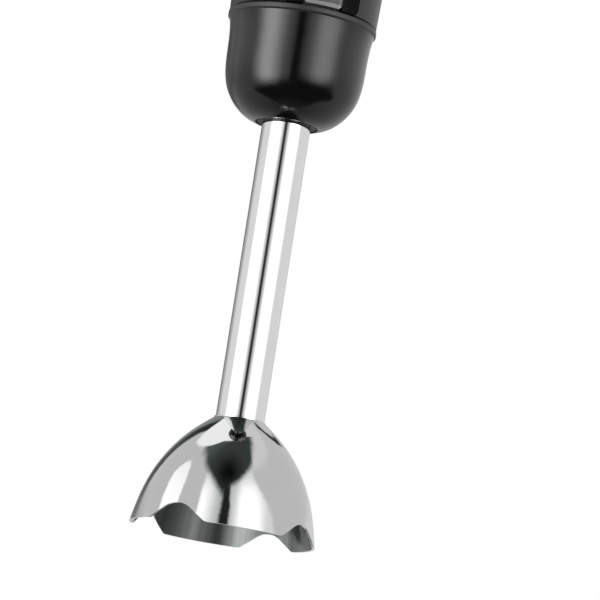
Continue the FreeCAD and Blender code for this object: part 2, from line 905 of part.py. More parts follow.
def press_button(z):
    """Button cap that follows the handle's skin, with a retaining flange and a stem."""
    lip = button_flange_lip
    half = button_height / 2
    skin_r = min(radius_at(inner_skin, z + rise) for rise in (-half - lip, 0, half + lip))
    flange_face = -math.sqrt(skin_r ** 2 - (button_half_width + lip) ** 2) + slip_gap
    skin = filled(part_of(handle_curve(button_proud), z - half - lip, z + half + lip))
    cap = skin.common(button_prism(z, 0)).common(block(-far, far, -far, flange_face, 0, z + far))
    hollow_half = button_half_width - 2.2
    hollow = plate(hollow_half, z - half + 2.2, z + half - 2.2, button_round - 2.0,
                   -(radius_at(outer_skin, z) - 2.6), flange_face + 0.1)
    flange = plate(button_half_width + lip, z - half - lip, z + half + lip, button_round + lip,
                   flange_face, flange_face + button_flange)
    stem = rod_y(button_stem_r, flange_face + 0.5, dome_face_y - 0.1, 0, z)
    return fused([cap.cut(hollow), flange, stem])


def release_skin():
    """Round solid whose side is the release button's front."""
    return filled(part_of(handle_curve(release_proud), handle_z + 0.5, release_top_z + 2.0))


def release_button():
    """Dark face plate with the block behind it and two noses that spread the clip."""
    skin = release_skin()
    keep = block(-far, far, -far, release_back_y, handle_z - 5, release_top_z + far)
    face = skin.common(release_prism(0, release_bevel + 0.05)).common(keep)
    flange_y = release_back_y - release_flange
    lip = release_flange_lip
    flange = plate(release_half_width + lip, release_low_z - lip * 0.4, release_top_z + lip, 1.0,
                   flange_y, release_back_y)
    return fused([face, flange])


def release_trim():
    """Bright frame round the release button's face, bevelled down to the panel."""
    flange_y = release_back_y - release_flange
    frame = release_prism(0).cut(release_prism(0, release_bevel))
    frame = frame.common(block(-far, far, -far, flange_y, handle_z - 5, release_top_z + far))
    body = release_skin().common(frame)
    return body.cut(fused(trim_bevels()))


def trim_bevels():
    """Wedges that slope the trim from the face's height at its inner edge to just above the panel."""
    slope = release_bevel - release_bevel_land
    out = 5.0
    cutters = []
    for edge_z, way in ((release_low_z, 1), (release_top_z, -1)):
        skin_r = radius_at(outer_skin, edge_z)
        low_r = skin_r + release_bevel_low
        inner_z = edge_z + way * slope
        cutters.append(turned(
            (low_r, edge_z - way), (low_r, edge_z), (skin_r + release_proud, inner_z),
            (skin_r + release_proud + out, inner_z), (skin_r + release_proud + out, edge_z - way),
        ))
    skin_r = radius_at(outer_skin, (release_low_z + release_top_z) / 2)
    edge_x = release_half_width
    inner_x = edge_x - slope
    edge_y = -math.sqrt((skin_r + release_bevel_low) ** 2 - edge_x ** 2)
    inner_y = -math.sqrt((skin_r + release_proud) ** 2 - inner_x ** 2)
    for side in (-1, 1):
        corners = [((edge_x + 1) * side, edge_y, 0), (edge_x * side, edge_y, 0), (inner_x * side, inner_y, 0)]
        corners += [(inner_x * side, inner_y - out, 0), ((edge_x + 1) * side, inner_y - out, 0)]
        cutters.append(plan_prism(corners, release_low_z - out, release_top_z + out))
    return cutters


def dome(base_r, base_z, flat_r, top_z):
    """Solid dome from a base circle to a flat top."""
    middle_r = flat_r + (base_r - flat_r) * 0.69
    middle_z = base_z + (top_z - base_z) * 0.655
    arc = Part.Arc(vec(base_r, 0, base_z), vec(middle_r, 0, middle_z), vec(flat_r, 0, top_z)).toShape()
    edges = [arc, line((flat_r, top_z), (0, top_z)), line((0, top_z), (0, base_z))]
    edges.append(line((0, base_z), (base_r, base_z)))
    return spun(edges)


def top_cap():
    inner_r = handle_top_r - handle_wall
    skirt_r = min(radius_at(inner_skin, handle_top_z - cap_skirt), radius_at(inner_skin, handle_top_z))
    skirt_r = skirt_r - seat_gap - 0.1
    seat_r = cord_r + gland_wall + seat_gap
    body = dome(handle_top_r, handle_top_z + cap_joint, cap_flat_r, cap_top_z)
    body = body.cut(dome(inner_r, handle_top_z, cap_flat_r - 1.0, cap_top_z - handle_wall))
    skirt = ring(skirt_r - cap_skirt_wall, skirt_r, handle_top_z - cap_skirt, handle_top_z + 3)
    foot = ring(skirt_r - cap_skirt_wall, inner_r + 0.5, handle_top_z + cap_joint, handle_top_z + 2)
    boss = ring(0, seat_r + 2.0, cap_top_z - gland_depth, cap_top_z - 0.5)
    body = fused([body, skirt, foot, boss])
    return body.cut(ring(0, seat_r, cap_top_z - gland_depth - 1, cap_top_z + 1))


def cord_gland():
    """Rubber inlet bush that the supply cord passes through."""
    seat_r = cord_r + gland_wall
    low = cap_top_z - gland_depth
    barb_r = seat_r + 0.9
    barb_z = low - seat_gap
    head_z = cap_top_z + seat_gap
    return turned(
        (cord_r, low - 1.8, 0.3), (seat_r, low - 1.8, 0.3), (barb_r, barb_z - 0.3, 0.3), (barb_r, barb_z),
        (seat_r, barb_z), (seat_r, head_z), (gland_head_r, head_z, 0.3),
        (gland_head_r - 0.8, cap_top_z + gland_head, 0.9), (cord_r, cap_top_z + gland_head, 0.6),
    )


def housing_screw_heights():
    return (frame_low_z + 8.0, frame_top_z - 12.0)


def housing_screw_face_y(z):
    """Bottom of the counterbore in the grip shell's back."""
    return radius_at(inner_skin, z) + 0.6


def housing_screws():
    solids = []
    for z in housing_screw_heights():
        one = screw(housing_screw_head_r, housing_screw_head, housing_screw_r, housing_screw_len)
        solids.append(put(one, vec(0, housing_screw_face_y(z), z), vec(1, 0, 0), -90))
    return Part.makeCompound(solids)


# ---- Socket, clip and motor carrier ----

def socket_ring():
    """Socket at the handle's foot that the spigot plugs into."""
    roof_hole_r = socket_coupling_r + 0.8
    flange = 1.8
    foot_r = min(radius_at(inner_skin, handle_z), radius_at(inner_skin, handle_z + flange)) - 0.1
    roof_r = min(radius_at(inner_skin, socket_roof_z), radius_at(inner_skin, socket_top_z)) - 0.1
    body = turned(
        (socket_bore_r, handle_z, 0.5), (foot_r, handle_z), (foot_r, handle_z + flange),
        (socket_r, handle_z + flange), (socket_r, socket_roof_z), (roof_r, socket_roof_z),
        (roof_r, socket_top_z), (roof_hole_r, socket_top_z), (roof_hole_r, socket_roof_z),
        (socket_bore_r, socket_roof_z),
    )
    half = clip_wire_r + 0.5
    pocket = ring(socket_bore_r - 1, clip_ring_r + half, groove_z - half, groove_z + half)
    lip = release_flange_lip + slip_gap
    window_half = release_half_width + lip
    window_y = release_back_y + release_travel + 0.1
    notch_high = handle_z + socket_notch
    window = block(-window_half, window_half, -far, window_y, notch_high - 0.1, release_top_z + lip)
    notch_y = -(socket_bore_r - socket_notch_in)
    notch = block(-window_half, window_half, -far, notch_y, handle_z - 1, notch_high)
    return body.cut(pocket).cut(fused([window, notch]))


def release_clip():
    """Hairpin spring: a wire ring, open at the front, whose straight legs sit in the spigot's groove."""
    leg_x = spigot_r - groove_depth + clip_wire_r + 0.15
    bend = math.degrees(math.acos(leg_x / clip_ring_r))

    def at(angle):
        turn = math.radians(angle)
        return vec(clip_ring_r * math.sin(turn), -clip_ring_r * math.cos(turn), groove_z)

    front = clip_front_gap
    runs = [(front, 90 - bend), (90 + bend, 270 - bend), (270 + bend, 360 - front)]
    solids = []
    for first, last in runs:
        turn = math.radians(first)
        tangent = vec(math.cos(turn), math.sin(turn), 0)
        section = Part.Face(Part.Wire(Part.Circle(at(first), tangent, clip_wire_r).toShape()))
        solids.append(section.revolve(vec(0, 0, 0), UP, last - first))
    for first, last in ((90 - bend, 90 + bend), (270 - bend, 270 + bend)):
        start = at(first)
        along = at(last) - start
        solids.append(Part.makeCylinder(clip_wire_r, along.Length, start, along))
    for angle in (front, 90 - bend, 90 + bend, 270 - bend, 270 + bend, 360 - front):
        solids.append(Part.makeSphere(clip_wire_r, at(angle)))
    return solids[0].multiFuse(solids[1:])


def motor_carrier():
    body = ring(carrier_bore_r, carrier_r, socket_top_z, carrier_top_z)
    floor = ring(9.0, carrier_bore_r + 0.5, carrier_plate_z, carrier_plate_z + carrier_plate - 0.05)
    body = fused([body, floor])
    window = block(-air_window_width / 2, air_window_width / 2, -far, 0, socket_top_z + 2.5,
                   socket_top_z + 2.5 + air_window_height)
    body = body.cut(fused(around(window, air_window_count)))
    hole = rod_z(motor_screw_r + slip_gap, carrier_plate_z - 1, can_low_z + 1, motor_screw_ring_r, 0)
    return body.cut(fused(around(hole, 2)))


def motor_mount(z_low):
    """Rubber ring between the motor carrier and the handle's skin."""
    z_high = z_low + mount_height
    outer_r = min(radius_at(inner_skin, z_low), radius_at(inner_skin, z_high)) - 0.15
    return ring(carrier_r + seat_gap, outer_r, z_low, z_high, 0.4)


# ---- Motor ----

def motor_can():
    boss_r = ball_bearing_r + 1.2
    low = front_bearing_z - 1.0
    body = turned(
        (5.0, low), (boss_r, low, 0.6), (boss_r, can_low_z), (can_r, can_low_z, 1.5), (can_r, can_top_z),
        (can_r - can_wall, can_top_z), (can_r - can_wall, can_low_z + can_wall, 0.6),
        (ball_bearing_r + seat_gap, can_low_z + can_wall), (ball_bearing_r + seat_gap, front_bearing_z),
        (5.0, front_bearing_z),
    )
    hole = rod_z(motor_screw_r + seat_gap, can_low_z - 1, can_low_z + can_wall + 1, motor_screw_ring_r, 0)
    return body.cut(fused(around(hole, 2)))


def motor_magnets():
    bore_r = can_r - can_wall
    low = armature_z - (magnet_length - armature_length) / 2
    one = ring(bore_r - seat_gap - magnet_thick, bore_r - seat_gap, low, low + magnet_length)
    reach = 2 * bore_r
    side = math.radians(magnet_half_angle)
    edge_x = reach * math.sin(side)
    edge_y = -reach * math.cos(side)
    corners = [(0, 0, 0), (edge_x, edge_y, 0), (reach, -reach * 2, 0), (-reach, -reach * 2, 0)]
    corners.append((-edge_x, edge_y, 0))
    one = one.common(plan_prism(corners, low - 1, low + magnet_length + 1))
    return Part.makeCompound(around(one, 2))


def ball_bearing(z_low):
    """Bearing as one ring with the races' shoulders turned into its faces."""
    body = ring(motor_shaft_r + 0.02, ball_bearing_r, z_low, z_low + ball_bearing_width, 0.4)
    middle_r = (motor_shaft_r + ball_bearing_r) / 2
    for z in (z_low - 1 + 0.4, z_low + ball_bearing_width - 0.4):
        body = body.cut(ring(middle_r - 0.9, middle_r + 0.9, z, z + 1))
    return body


def motor_screws():
    one = screw(2.7, 1.8, motor_screw_r, carrier_plate + can_wall - 0.3)
    one = put(one, vec(motor_screw_ring_r, 0, carrier_plate_z), vec(1, 0, 0), 180)
    return Part.makeCompound(around(one, 2))


def motor_end_cap():
    low = can_top_z
    roof_low = can_top_z + end_cap_depth
    boss_top = roof_low + ball_bearing_width + 1.0
    boss_r = ball_bearing_r + 1.6
    body = turned(
        (can_r - end_cap_wall, low), (can_r, low), (can_r, roof_low + end_cap_roof, 1.0),
        (boss_r, roof_low + end_cap_roof, 0.8), (boss_r, boss_top, 0.5),
        (4.0, boss_top), (4.0, boss_top - 1.0),
        (ball_bearing_r + seat_gap, boss_top - 1.0), (ball_bearing_r + seat_gap, roof_low),
        (can_r - end_cap_wall, roof_low),
    )
    shelf_top = brush_z - brush_tall / 2 - brush_holder_wall - seat_gap
    shelf_half = brush_wide / 2 + brush_holder_wall + 1.0
    shelf_r = commutator_r + 3.0
    shelf = block(shelf_r, can_r - end_cap_wall + 0.6, -shelf_half, shelf_half, low, shelf_top)
    return fused([body] + around(shelf, 2))


def brush_inner_r():
    return commutator_r + 0.1


def brush_end_r():
    """Outer end of a brush holder, whose corners stay inside the end cap's round wall."""
    corner = brush_wide / 2 + seat_gap + brush_holder_wall
    return math.sqrt((can_r - end_cap_wall - seat_gap) ** 2 - corner ** 2)


def brush_holders():
    half_y = brush_wide / 2 + seat_gap
    half_z = brush_tall / 2 + seat_gap
    wall = brush_holder_wall
    start = commutator_r + 2.0
    end = brush_end_r()
    outer = block(start, end, -half_y - wall, half_y + wall, brush_z - half_z - wall, brush_z + half_z + wall)
    one = outer.cut(block(start - 1, end - wall, -half_y, half_y, brush_z - half_z, brush_z + half_z))
    return Part.makeCompound(around(one, 2))


def carbon_brushes():
    start = brush_inner_r()
    half_y = brush_wide / 2
    half_z = brush_tall / 2
    one = block(start, start + brush_length, -half_y, half_y, brush_z - half_z, brush_z + half_z)
    return Part.makeCompound(around(one, 2))


def brush_springs():
    start = brush_inner_r() + brush_length + brush_spring_wire_r + 0.05
    end = brush_end_r() - brush_holder_wall - brush_spring_wire_r - 0.05
    coil_r = brush_tall / 2 - brush_spring_wire_r - 0.25
    pitch = (end - start) / brush_spring_turns
    helix = Part.makeHelix(pitch, end - start, coil_r)
    section = Part.Wire([Part.Circle(vec(coil_r, 0, 0), vec(0, 1, 0), brush_spring_wire_r).toShape()])
    coil = Part.Wire(helix).makePipeShell([section], True, True)
    coil = put(coil, vec(start, 0, brush_z), vec(0, 1, 0), 90)
    return Part.makeCompound(around(coil, 2))


def motor_shaft():
    return ring(0, motor_shaft_r, coupling_roof_z + 0.6, shaft_end_z - 0.2, 0.5)


def core_slots(grow):
    half = slot_width / 2 - grow
    slot = block(-half, half, -armature_r - 2, -armature_r + slot_depth - grow, armature_z - 5,
                 armature_z + armature_length + 5)
    return around(slot, slot_count)


def armature_core():
    body = ring(motor_shaft_r + 0.02, armature_r, armature_z, armature_z + armature_length)
    return body.cut(fused(core_slots(0)))


def armature_windings():
    """Copper bars in the core's slots, joined by an end ring above and below the core."""
    inner_r = motor_shaft_r + 2.2
    high_z = armature_z + armature_length
    bars = fused(core_slots(0.15)).common(ring(0, armature_r - 0.5, armature_z - 1, high_z + 1))
    low = ring(inner_r, winding_r, armature_z - winding_end, armature_z - 0.1, 1.2)
    high = ring(inner_r, winding_r, high_z + 0.1, high_z + winding_end, 1.2)
    return fused([low, high, bars])


def commutator():
    body = ring(motor_shaft_r + 0.02, commutator_r, commutator_z, commutator_z + commutator_length, 0.3)
    groove = block(-0.2, 0.2, -commutator_r - 1, -commutator_r + 0.7, commutator_z + 0.8,
                   commutator_z + commutator_length + 1)
    riser = ring(motor_shaft_r + 0.02, commutator_r + 1.0, commutator_z - 0.8, commutator_z + 0.8, 0.2)
    return fused([body, riser]).cut(fused(around(groove, slot_count, 180 / slot_count)))


def cooling_fan():
    top = carrier_plate_z - 2.6
    low = top - fan_height
    hub = ring(motor_shaft_r + 0.02, fan_hub_r, low, top, 0.4)
    disc = ring(motor_shaft_r + 0.02, fan_r, top - fan_disc, top)
    vane = block(-fan_blade_thick / 2, fan_blade_thick / 2, -fan_r, -fan_hub_r + 0.5, low + 0.6, top - 0.2)
    vane.rotate(vec(0, -fan_hub_r, 0), UP, 24)
    vane = vane.common(ring(0, fan_r, low, top))
    return fused([hub, disc] + around(vane, fan_blade_count))


def driving_coupling():
    hub_r = motor_shaft_r + 2.8
    body = turned(
        (0, coupling_mouth_z), (socket_coupling_r, coupling_mouth_z, 0.5),
        (socket_coupling_r, coupling_roof_z + 3.0, 1.0), (hub_r, coupling_roof_z + 3.8),
        (hub_r, coupling_top_z, 0.4), (0, coupling_top_z),
    )
    body = body.cut(star(slip_gap, coupling_mouth_z - 1, coupling_roof_z))
    return body.cut(ring(0, motor_shaft_r + 0.02, coupling_roof_z + 0.5, coupling_top_z + 1))


# ---- Frame, board and switches ----

def post_heights():
    middle = (turbo_z + speed_z) / 2
    return (middle - post_pitch, middle, middle + post_pitch)


def inner_frame():
    back = frame_face_y + frame_plate
    boss_r = housing_screw_r + housing_boss_wall
    wall = plate(frame_half_width, frame_low_z, frame_top_z, 1.5, frame_face_y, back)
    foot = ring(0, carrier_r, frame_low_z, frame_low_z + frame_foot)
    foot = foot.cut(ring(0, 7.0, frame_low_z - 1, frame_low_z + frame_foot + 1))
    pieces = [wall, foot]
    for z in post_heights():
        for x in (-post_x, post_x):
            pieces.append(rod_y(post_r, membrane_back_y, frame_face_y + 1, x, z))
    for z in housing_screw_heights():
        pieces.append(rod_y(boss_r, back - 1, radius_at(inner_skin, z) - 0.45, 0, z))
    for x in (-clamp_screw_x, clamp_screw_x):
        pieces.append(rod_y(2.4, back - 1, cord_r + 0.1, x, clamp_z()))
    body = fused(pieces)
    for z in housing_screw_heights():
        pilot_y = housing_screw_face_y(z) - housing_screw_len - 0.5
        body = body.cut(rod_y(housing_screw_r + seat_gap, pilot_y, far, 0, z))
    for x in (-clamp_screw_x, clamp_screw_x):
        body = body.cut(rod_y(clamp_screw_r + seat_gap, back - 0.5, far, x, clamp_z()))
    for x, z in board_screw_places():
        body = body.cut(rod_y(post_screw_r + seat_gap, frame_face_y - 1, back + 1, x, z))
    return body


def clamp_z():
    return frame_top_z - 5.0


def board_screw_places():
    low = board_low_z + 3.0
    high = board_low_z + board_length - 3.0
    return [(x, z) for x in (-board_half_width + 2.2, board_half_width - 2.2) for z in (low, high)]


def circuit_board():
    body = plate(board_half_width, board_low_z, board_low_z + board_length, 0.8, board_face_y, board_back_y)
    for x, z in board_screw_places():
        body = body.cut(rod_y(post_screw_r + 0.15, board_face_y - 1, board_back_y + 1, x, z))
    return body


def board_screws():
    solids = []
    for x, z in board_screw_places():
        one = screw(1.7, 1.1, post_screw_r, board_thick + 1.9)
        solids.append(put(one, vec(x, board_face_y, z), vec(1, 0, 0), 90))
    return Part.makeCompound(solids)


def microswitches():
    solids = []
    for z in (turbo_z, speed_z):
        body = block(-switch_half_width, switch_half_width, switch_face_y, board_face_y, z - switch_tall / 2,
                     z + switch_tall / 2)
        key = rod_y(plunger_r, switch_face_y - plunger_rise, switch_face_y + 1, 0, z)
        solids.append(fused([body, key]))
    return Part.makeCompound(solids)


def button_membrane():
    """Silicone sheet with a dome over each switch, carried on the frame's posts."""
    low = post_heights()[0] - 3.0
    high = post_heights()[-1] + 3.0
    body = plate(membrane_half_width, low, high, 2.0, membrane_face_y, membrane_back_y)
    for z in (turbo_z, speed_z):
        dome = Part.makeCone(membrane_dome_r, button_stem_r + 0.6, dome_rise + 0.3,
                             vec(0, membrane_face_y + 0.3, z), vec(0, -1, 0))
        hollow = Part.makeCone(membrane_dome_r - 0.9, button_stem_r - 0.6, dome_rise + 0.2,
                               vec(0, membrane_back_y + 0.1, z), vec(0, -1, 0))
        body = body.fuse(dome).cut(hollow)
    return body


def suppression_capacitor():
    middle = (turbo_z + speed_z) / 2
    return plate(6.5, middle - 5.5, middle + 5.5, 0.8, board_face_y - 4.6, board_face_y)


def rectifier():
    low = speed_z + switch_tall / 2 + 2.0
    return plate(4.0, low, low + 7.0, 0.5, board_face_y - 3.2, board_face_y)


def cord_clamp():
    z = clamp_z()
    face = cord_r + 0.1
    body = plate(clamp_half_width, z - clamp_height / 2, z + clamp_height / 2, 1.2, face, face + clamp_thick)
    saddle = Part.makeCylinder(cord_r + 0.6, clamp_height + 2, vec(0, face - 2.2, z - clamp_height / 2 - 1))
    body = body.cut(saddle)
    for x in (-clamp_screw_x, clamp_screw_x):
        body = body.cut(rod_y(clamp_screw_r + 0.2, 0, far, x, z))
    return body


def clamp_screws():
    solids = []
    for x in (-clamp_screw_x, clamp_screw_x):
        one = screw(2.2, 1.5, clamp_screw_r, clamp_thick + 5.0)
        solids.append(put(one, vec(x, cord_r + 0.1 + clamp_thick, clamp_z()), vec(1, 0, 0), -90))
    return Part.makeCompound(solids)


# ---- Export ----

PIECES = {
    "bell_guard": bell_guard,
    "shaft_tube": shaft_tube,
    "lower_bearing_housing": lower_bearing_housing,
    "lower_bush": lambda: bush(lower_bush_z, lower_bush_len),
    "lip_seal": lip_seal,
    "middle_bush": middle_bush,
    "upper_bush": lambda: bush(upper_bush_z, upper_bush_len),
    "stick_core": stick_core,
    "core_screws": core_screws,
    "tube_exit_ring": tube_exit_ring,
    "collar_cup": collar_cup,
    "coupling_spigot": coupling_spigot,
    "seam_band": seam_band,
    "drive_shaft": drive_shaft,
    "retaining_clip": retaining_clip,
    "blade": blade,
    "blade_spacer": blade_spacer,
    "blade_cap": blade_cap,
    "driven_coupling": driven_coupling,
    "socket_ring": socket_ring,
    "release_clip": release_clip,
    "grip_shell": grip_shell,
    "front_panel": front_panel,
    "top_cap": top_cap,
    "cord_gland": cord_gland,
    "housing_screws": housing_screws,
    "motor_carrier": motor_carrier,
    "lower_motor_mount": lambda: motor_mount(can_low_z + mount_inset),
    "upper_motor_mount": lambda: motor_mount(can_top_z - mount_inset),
    "motor_can": motor_can,
    "motor_magnets": motor_magnets,
    "front_bearing": lambda: ball_bearing(front_bearing_z),
    "rear_bearing": lambda: ball_bearing(rear_bearing_z),
    "motor_end_cap": motor_end_cap,
    "motor_screws": motor_screws,
    "brush_holders": brush_holders,
    "carbon_brushes": carbon_brushes,
    "brush_springs": brush_springs,
    "motor_shaft": motor_shaft,
    "armature_core": armature_core,
    "armature_windings": armature_windings,
    "commutator": commutator,
    "cooling_fan": cooling_fan,
    "driving_coupling": driving_coupling,
    "inner_frame": inner_frame,
    "circuit_board": circuit_board,
    "board_screws": board_screws,
    "microswitches": microswitches,
    "button_membrane": button_membrane,
    "suppression_capacitor": suppression_capacitor,
    "rectifier": rectifier,
    "cord_clamp": cord_clamp,
    "clamp_screws": clamp_screws,
    "speed_button": lambda: press_button(speed_z),
    "turbo_button": lambda: press_button(turbo_z),
    "release_button": release_button,
    "release_trim": release_trim,
}


def main():
    os.makedirs("parts", exist_ok=True)
    for name, make in PIECES.items():
        shape = make()
        count = len(shape.Solids)
        print(f"{name}: {count} solid(s), {shape.Volume / 1000:.3f} cm3, valid {shape.isValid()}")
        shape.exportStep(f"parts/{name}.step")


main()
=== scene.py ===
"""Looks, light and camera for the immersion blender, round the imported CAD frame.

Metres, with +Z up and the front to -Y.
"""

import math

import bmesh
import bpy
from mathutils import Matrix, Vector

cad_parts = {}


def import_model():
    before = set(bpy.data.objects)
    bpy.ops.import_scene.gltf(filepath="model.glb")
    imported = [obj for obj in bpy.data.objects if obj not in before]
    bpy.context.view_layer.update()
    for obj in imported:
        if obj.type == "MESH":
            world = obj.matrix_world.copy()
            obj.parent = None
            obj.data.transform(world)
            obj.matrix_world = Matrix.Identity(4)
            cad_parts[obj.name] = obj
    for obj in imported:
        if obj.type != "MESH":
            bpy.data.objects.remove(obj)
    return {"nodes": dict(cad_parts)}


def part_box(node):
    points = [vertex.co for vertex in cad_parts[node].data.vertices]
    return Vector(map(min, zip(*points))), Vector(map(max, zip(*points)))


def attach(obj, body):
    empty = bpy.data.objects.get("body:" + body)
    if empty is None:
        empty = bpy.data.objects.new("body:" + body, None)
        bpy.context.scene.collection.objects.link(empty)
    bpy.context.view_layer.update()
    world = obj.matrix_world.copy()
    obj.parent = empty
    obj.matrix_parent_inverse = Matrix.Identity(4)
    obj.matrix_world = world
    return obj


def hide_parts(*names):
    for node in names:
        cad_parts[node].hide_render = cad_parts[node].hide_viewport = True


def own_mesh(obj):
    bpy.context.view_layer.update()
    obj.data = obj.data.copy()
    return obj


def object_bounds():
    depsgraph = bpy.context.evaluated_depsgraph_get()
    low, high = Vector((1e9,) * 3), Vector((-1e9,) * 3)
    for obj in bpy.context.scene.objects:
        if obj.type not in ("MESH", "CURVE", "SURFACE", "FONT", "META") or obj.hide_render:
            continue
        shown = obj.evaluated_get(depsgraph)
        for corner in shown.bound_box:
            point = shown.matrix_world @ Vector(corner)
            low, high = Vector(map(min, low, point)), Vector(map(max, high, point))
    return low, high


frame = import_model()
cad_low, cad_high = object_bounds()
nodes = frame["nodes"]
scene = bpy.context.scene
scene.view_settings.view_transform = "Standard"

# ---- Camera ----
# Low in front, a little to the left, looking up into the bell, and rolled as the photo's blender leans.

CAMERA_AZIMUTH = math.radians(-14.0)
CAMERA_ELEVATION = math.radians(-9.861)
CAMERA_ROLL = math.radians(8.870)
CAMERA_DISTANCE = 1.6
CAMERA_LENS = 248.45        # focal length in millimetres
CAMERA_CLIP = (0.05, 50.0)
AIM_HEIGHT = 0.094755       # the picture's middle: this far up the blender's axis
AIM_SIDE = 0.015705         # and this far to the right of it


def camera():
    a, e = CAMERA_AZIMUTH, CAMERA_ELEVATION
    back = Vector((math.sin(a) * math.cos(e), -math.cos(a) * math.cos(e), math.sin(e)))
    level = Vector((math.cos(a), math.sin(a), 0))
    upright = back.cross(level)
    right = level * math.cos(CAMERA_ROLL) + upright * math.sin(CAMERA_ROLL)
    up = upright * math.cos(CAMERA_ROLL) - level * math.sin(CAMERA_ROLL)
    turn = Matrix((right, up, back)).transposed()
    aim = Vector((0, 0, AIM_HEIGHT)) + level * AIM_SIDE
    data = bpy.data.cameras.new("camera")
    data.lens = CAMERA_LENS
    data.clip_start, data.clip_end = CAMERA_CLIP
    obj = bpy.data.objects.new("camera", data)
    scene.collection.objects.link(obj)
    obj.matrix_world = Matrix.Translation(aim + back * CAMERA_DISTANCE) @ turn.to_4x4()
    scene.camera = obj


# ---- Node helpers ----

class Tree:
    """Short names for building a node tree."""

    def __init__(self, tree):
        self.tree = tree
        tree.nodes.clear()

    def node(self, kind, **settings):
        made = self.tree.nodes.new(kind)
        for name, value in settings.items():
            setattr(made, name, value)
        return made

    def join(self, value, socket):
        """Link a socket or set a plain value; None leaves the socket as it is."""
        if isinstance(value, bpy.types.NodeSocket):
            self.tree.links.new(value, socket)
        elif value is not None:
            socket.default_value = value

    def math(self, operation, a, b=None, c=None):
        made = self.node("ShaderNodeMath", operation=operation)
        for value, socket in zip((a, b, c), made.inputs):
            self.join(value, socket)
        return made.outputs[0]

    def both(self, a, b):
        """The product of two numbers, such as what two masks share."""
        return self.math("MULTIPLY", a, b)

    def vector(self, operation, a, b=None, output="Value"):
        made = self.node("ShaderNodeVectorMath", operation=operation)
        self.join(a, made.inputs[0])
        self.join(b, made.inputs[1])
        return made.outputs[output]

    def split(self, vector):
        """X, Y and Z of a vector."""
        made = self.node("ShaderNodeSeparateXYZ")
        self.join(vector, made.inputs[0])
        return made.outputs[:]

    def ramp(self, value, low, high, to_low=0.0, to_high=1.0):
        """Smooth step of a value from one range to another."""
        made = self.node("ShaderNodeMapRange", interpolation_type="SMOOTHSTEP")
        for item, socket in zip((value, low, high, to_low, to_high), made.inputs):
            self.join(item, socket)
        return made.outputs[0]

    def curve(self, value, points):
        """Straight runs between given points, level beyond the last ones."""
        xs, ys = zip(*points)
        low, span = min(ys), max(ys) - min(ys)
        made = self.node("ShaderNodeFloatCurve")
        line = made.mapping.curves[0]
        line.points[0].location = (0, (ys[0] - low) / span)
        line.points[1].location = (1, (ys[-1] - low) / span)
        for x, y in points[1:-1]:
            line.points.new((x - xs[0]) / (xs[-1] - xs[0]), (y - low) / span)
        for point in line.points:
            point.handle_type = "VECTOR"
        made.mapping.update()
        place = self.node("ShaderNodeMapRange", clamp=True)
        for item, socket in zip((value, xs[0], xs[-1], 0.0, 1.0), place.inputs):
            self.join(item, socket)
        self.join(place.outputs[0], made.inputs["Value"])
        return self.math("MULTIPLY_ADD", made.outputs[0], span, low)

    def over(self, value, edge, soft):
        """1 where a value is over an edge, 0 under it."""
        return self.ramp(self.math("SUBTRACT", value, edge), -soft, soft)

    def band(self, value, low, high, soft):
        """1 between two values, with soft ends."""
        rise = self.ramp(value, low - soft, low + soft)
        fall = self.ramp(value, high - soft, high + soft, 1.0, 0.0)
        return self.both(rise, fall)

    def lerp(self, a, b, share):
        """a + (b - a) * share for numbers."""
        return self.math("MULTIPLY_ADD", self.math("SUBTRACT", b, a), share, a)

    def patch(self, under, value, *masks):
        """A value laid over another one where every mask is 1."""
        share = masks[0]
        for mask in masks[1:]:
            share = self.both(share, mask)
        return self.lerp(under, value, share)

    def mix(self, share, a, b):
        """Colour b over colour a by a share."""
        made = self.node("ShaderNodeMix", data_type="RGBA")
        self.join(share, made.inputs["Factor"])
        self.join(a, made.inputs[6])
        self.join(b, made.inputs[7])
        return made.outputs[2]

    def mix_shader(self, share, a, b):
        """Shader b over shader a by a share."""
        made = self.node("ShaderNodeMixShader")
        for item, socket in zip((share, a, b), made.inputs):
            self.join(item, socket)
        return made.outputs[0]

    def mirrored(self):
        """1 for rays that come from a reflection or through something clear."""
        path = self.node("ShaderNodeLightPath")
        return self.math("MAXIMUM", path.outputs["Is Glossy Ray"], path.outputs["Is Transmission Ray"])


# ---- World: a studio that only mirrors and clear pieces show, its parts placed by direction ----
# Places and brightnesses were measured on the reflections in the photo, then rounded and adjusted.
# Azimuth is counted from the camera's side of the blender, towards the right; both angles are in degrees.
# A ramp or a band says at which angles a part begins and ends, and soft is half the width of its soft edge.
# The other numbers are brightnesses.

# Brightness all round at the blender's own height: two softboxes in front, with an unlit gap between them
LEVEL_ROUND = [
    (-180, 0.4), (-174, 0.8), (-168, 0.5), (-162, 0.14), (-150, 0.14), (-142, 0.4), (-136, 0.55),
    (-124, 0.6), (-116, 0.95), (-78, 1.0), (-70, 1.9), (-62, 4.3), (-56, 5.7), (-51, 6.2), (-43, 6.1),
    (-36, 4.7), (-30, 3.2), (-25, 2.2), (-20, 1.45), (-15, 1.05), (-11, 0.8), (-8, 0.5), (-5, 0.14),
    (-3, 0.02), (1.5, 0.02), (4, 0.12), (7.5, 0.5), (12, 0.8), (16, 1.1), (20, 1.4), (25, 2.1), (30, 2.9),
    (38, 3.9), (50, 3.95), (60, 2.95), (70, 1.4), (78, 0.95), (135, 0.95), (150, 0.8), (170, 0.7),
    (180, 0.4),
]
# Brightness by elevation under that height, at the sides and in the unlit middle
SIDES_BELOW = [(-90, 0.2), (-75, 0.32), (-60, 0.5), (-30, 0.7), (-10, 0.78), (8, 1.0)]
MIDDLE_BELOW = [(-90, 0.1), (-78, 0.15), (-68, 0.08), (-60, 0.04)]
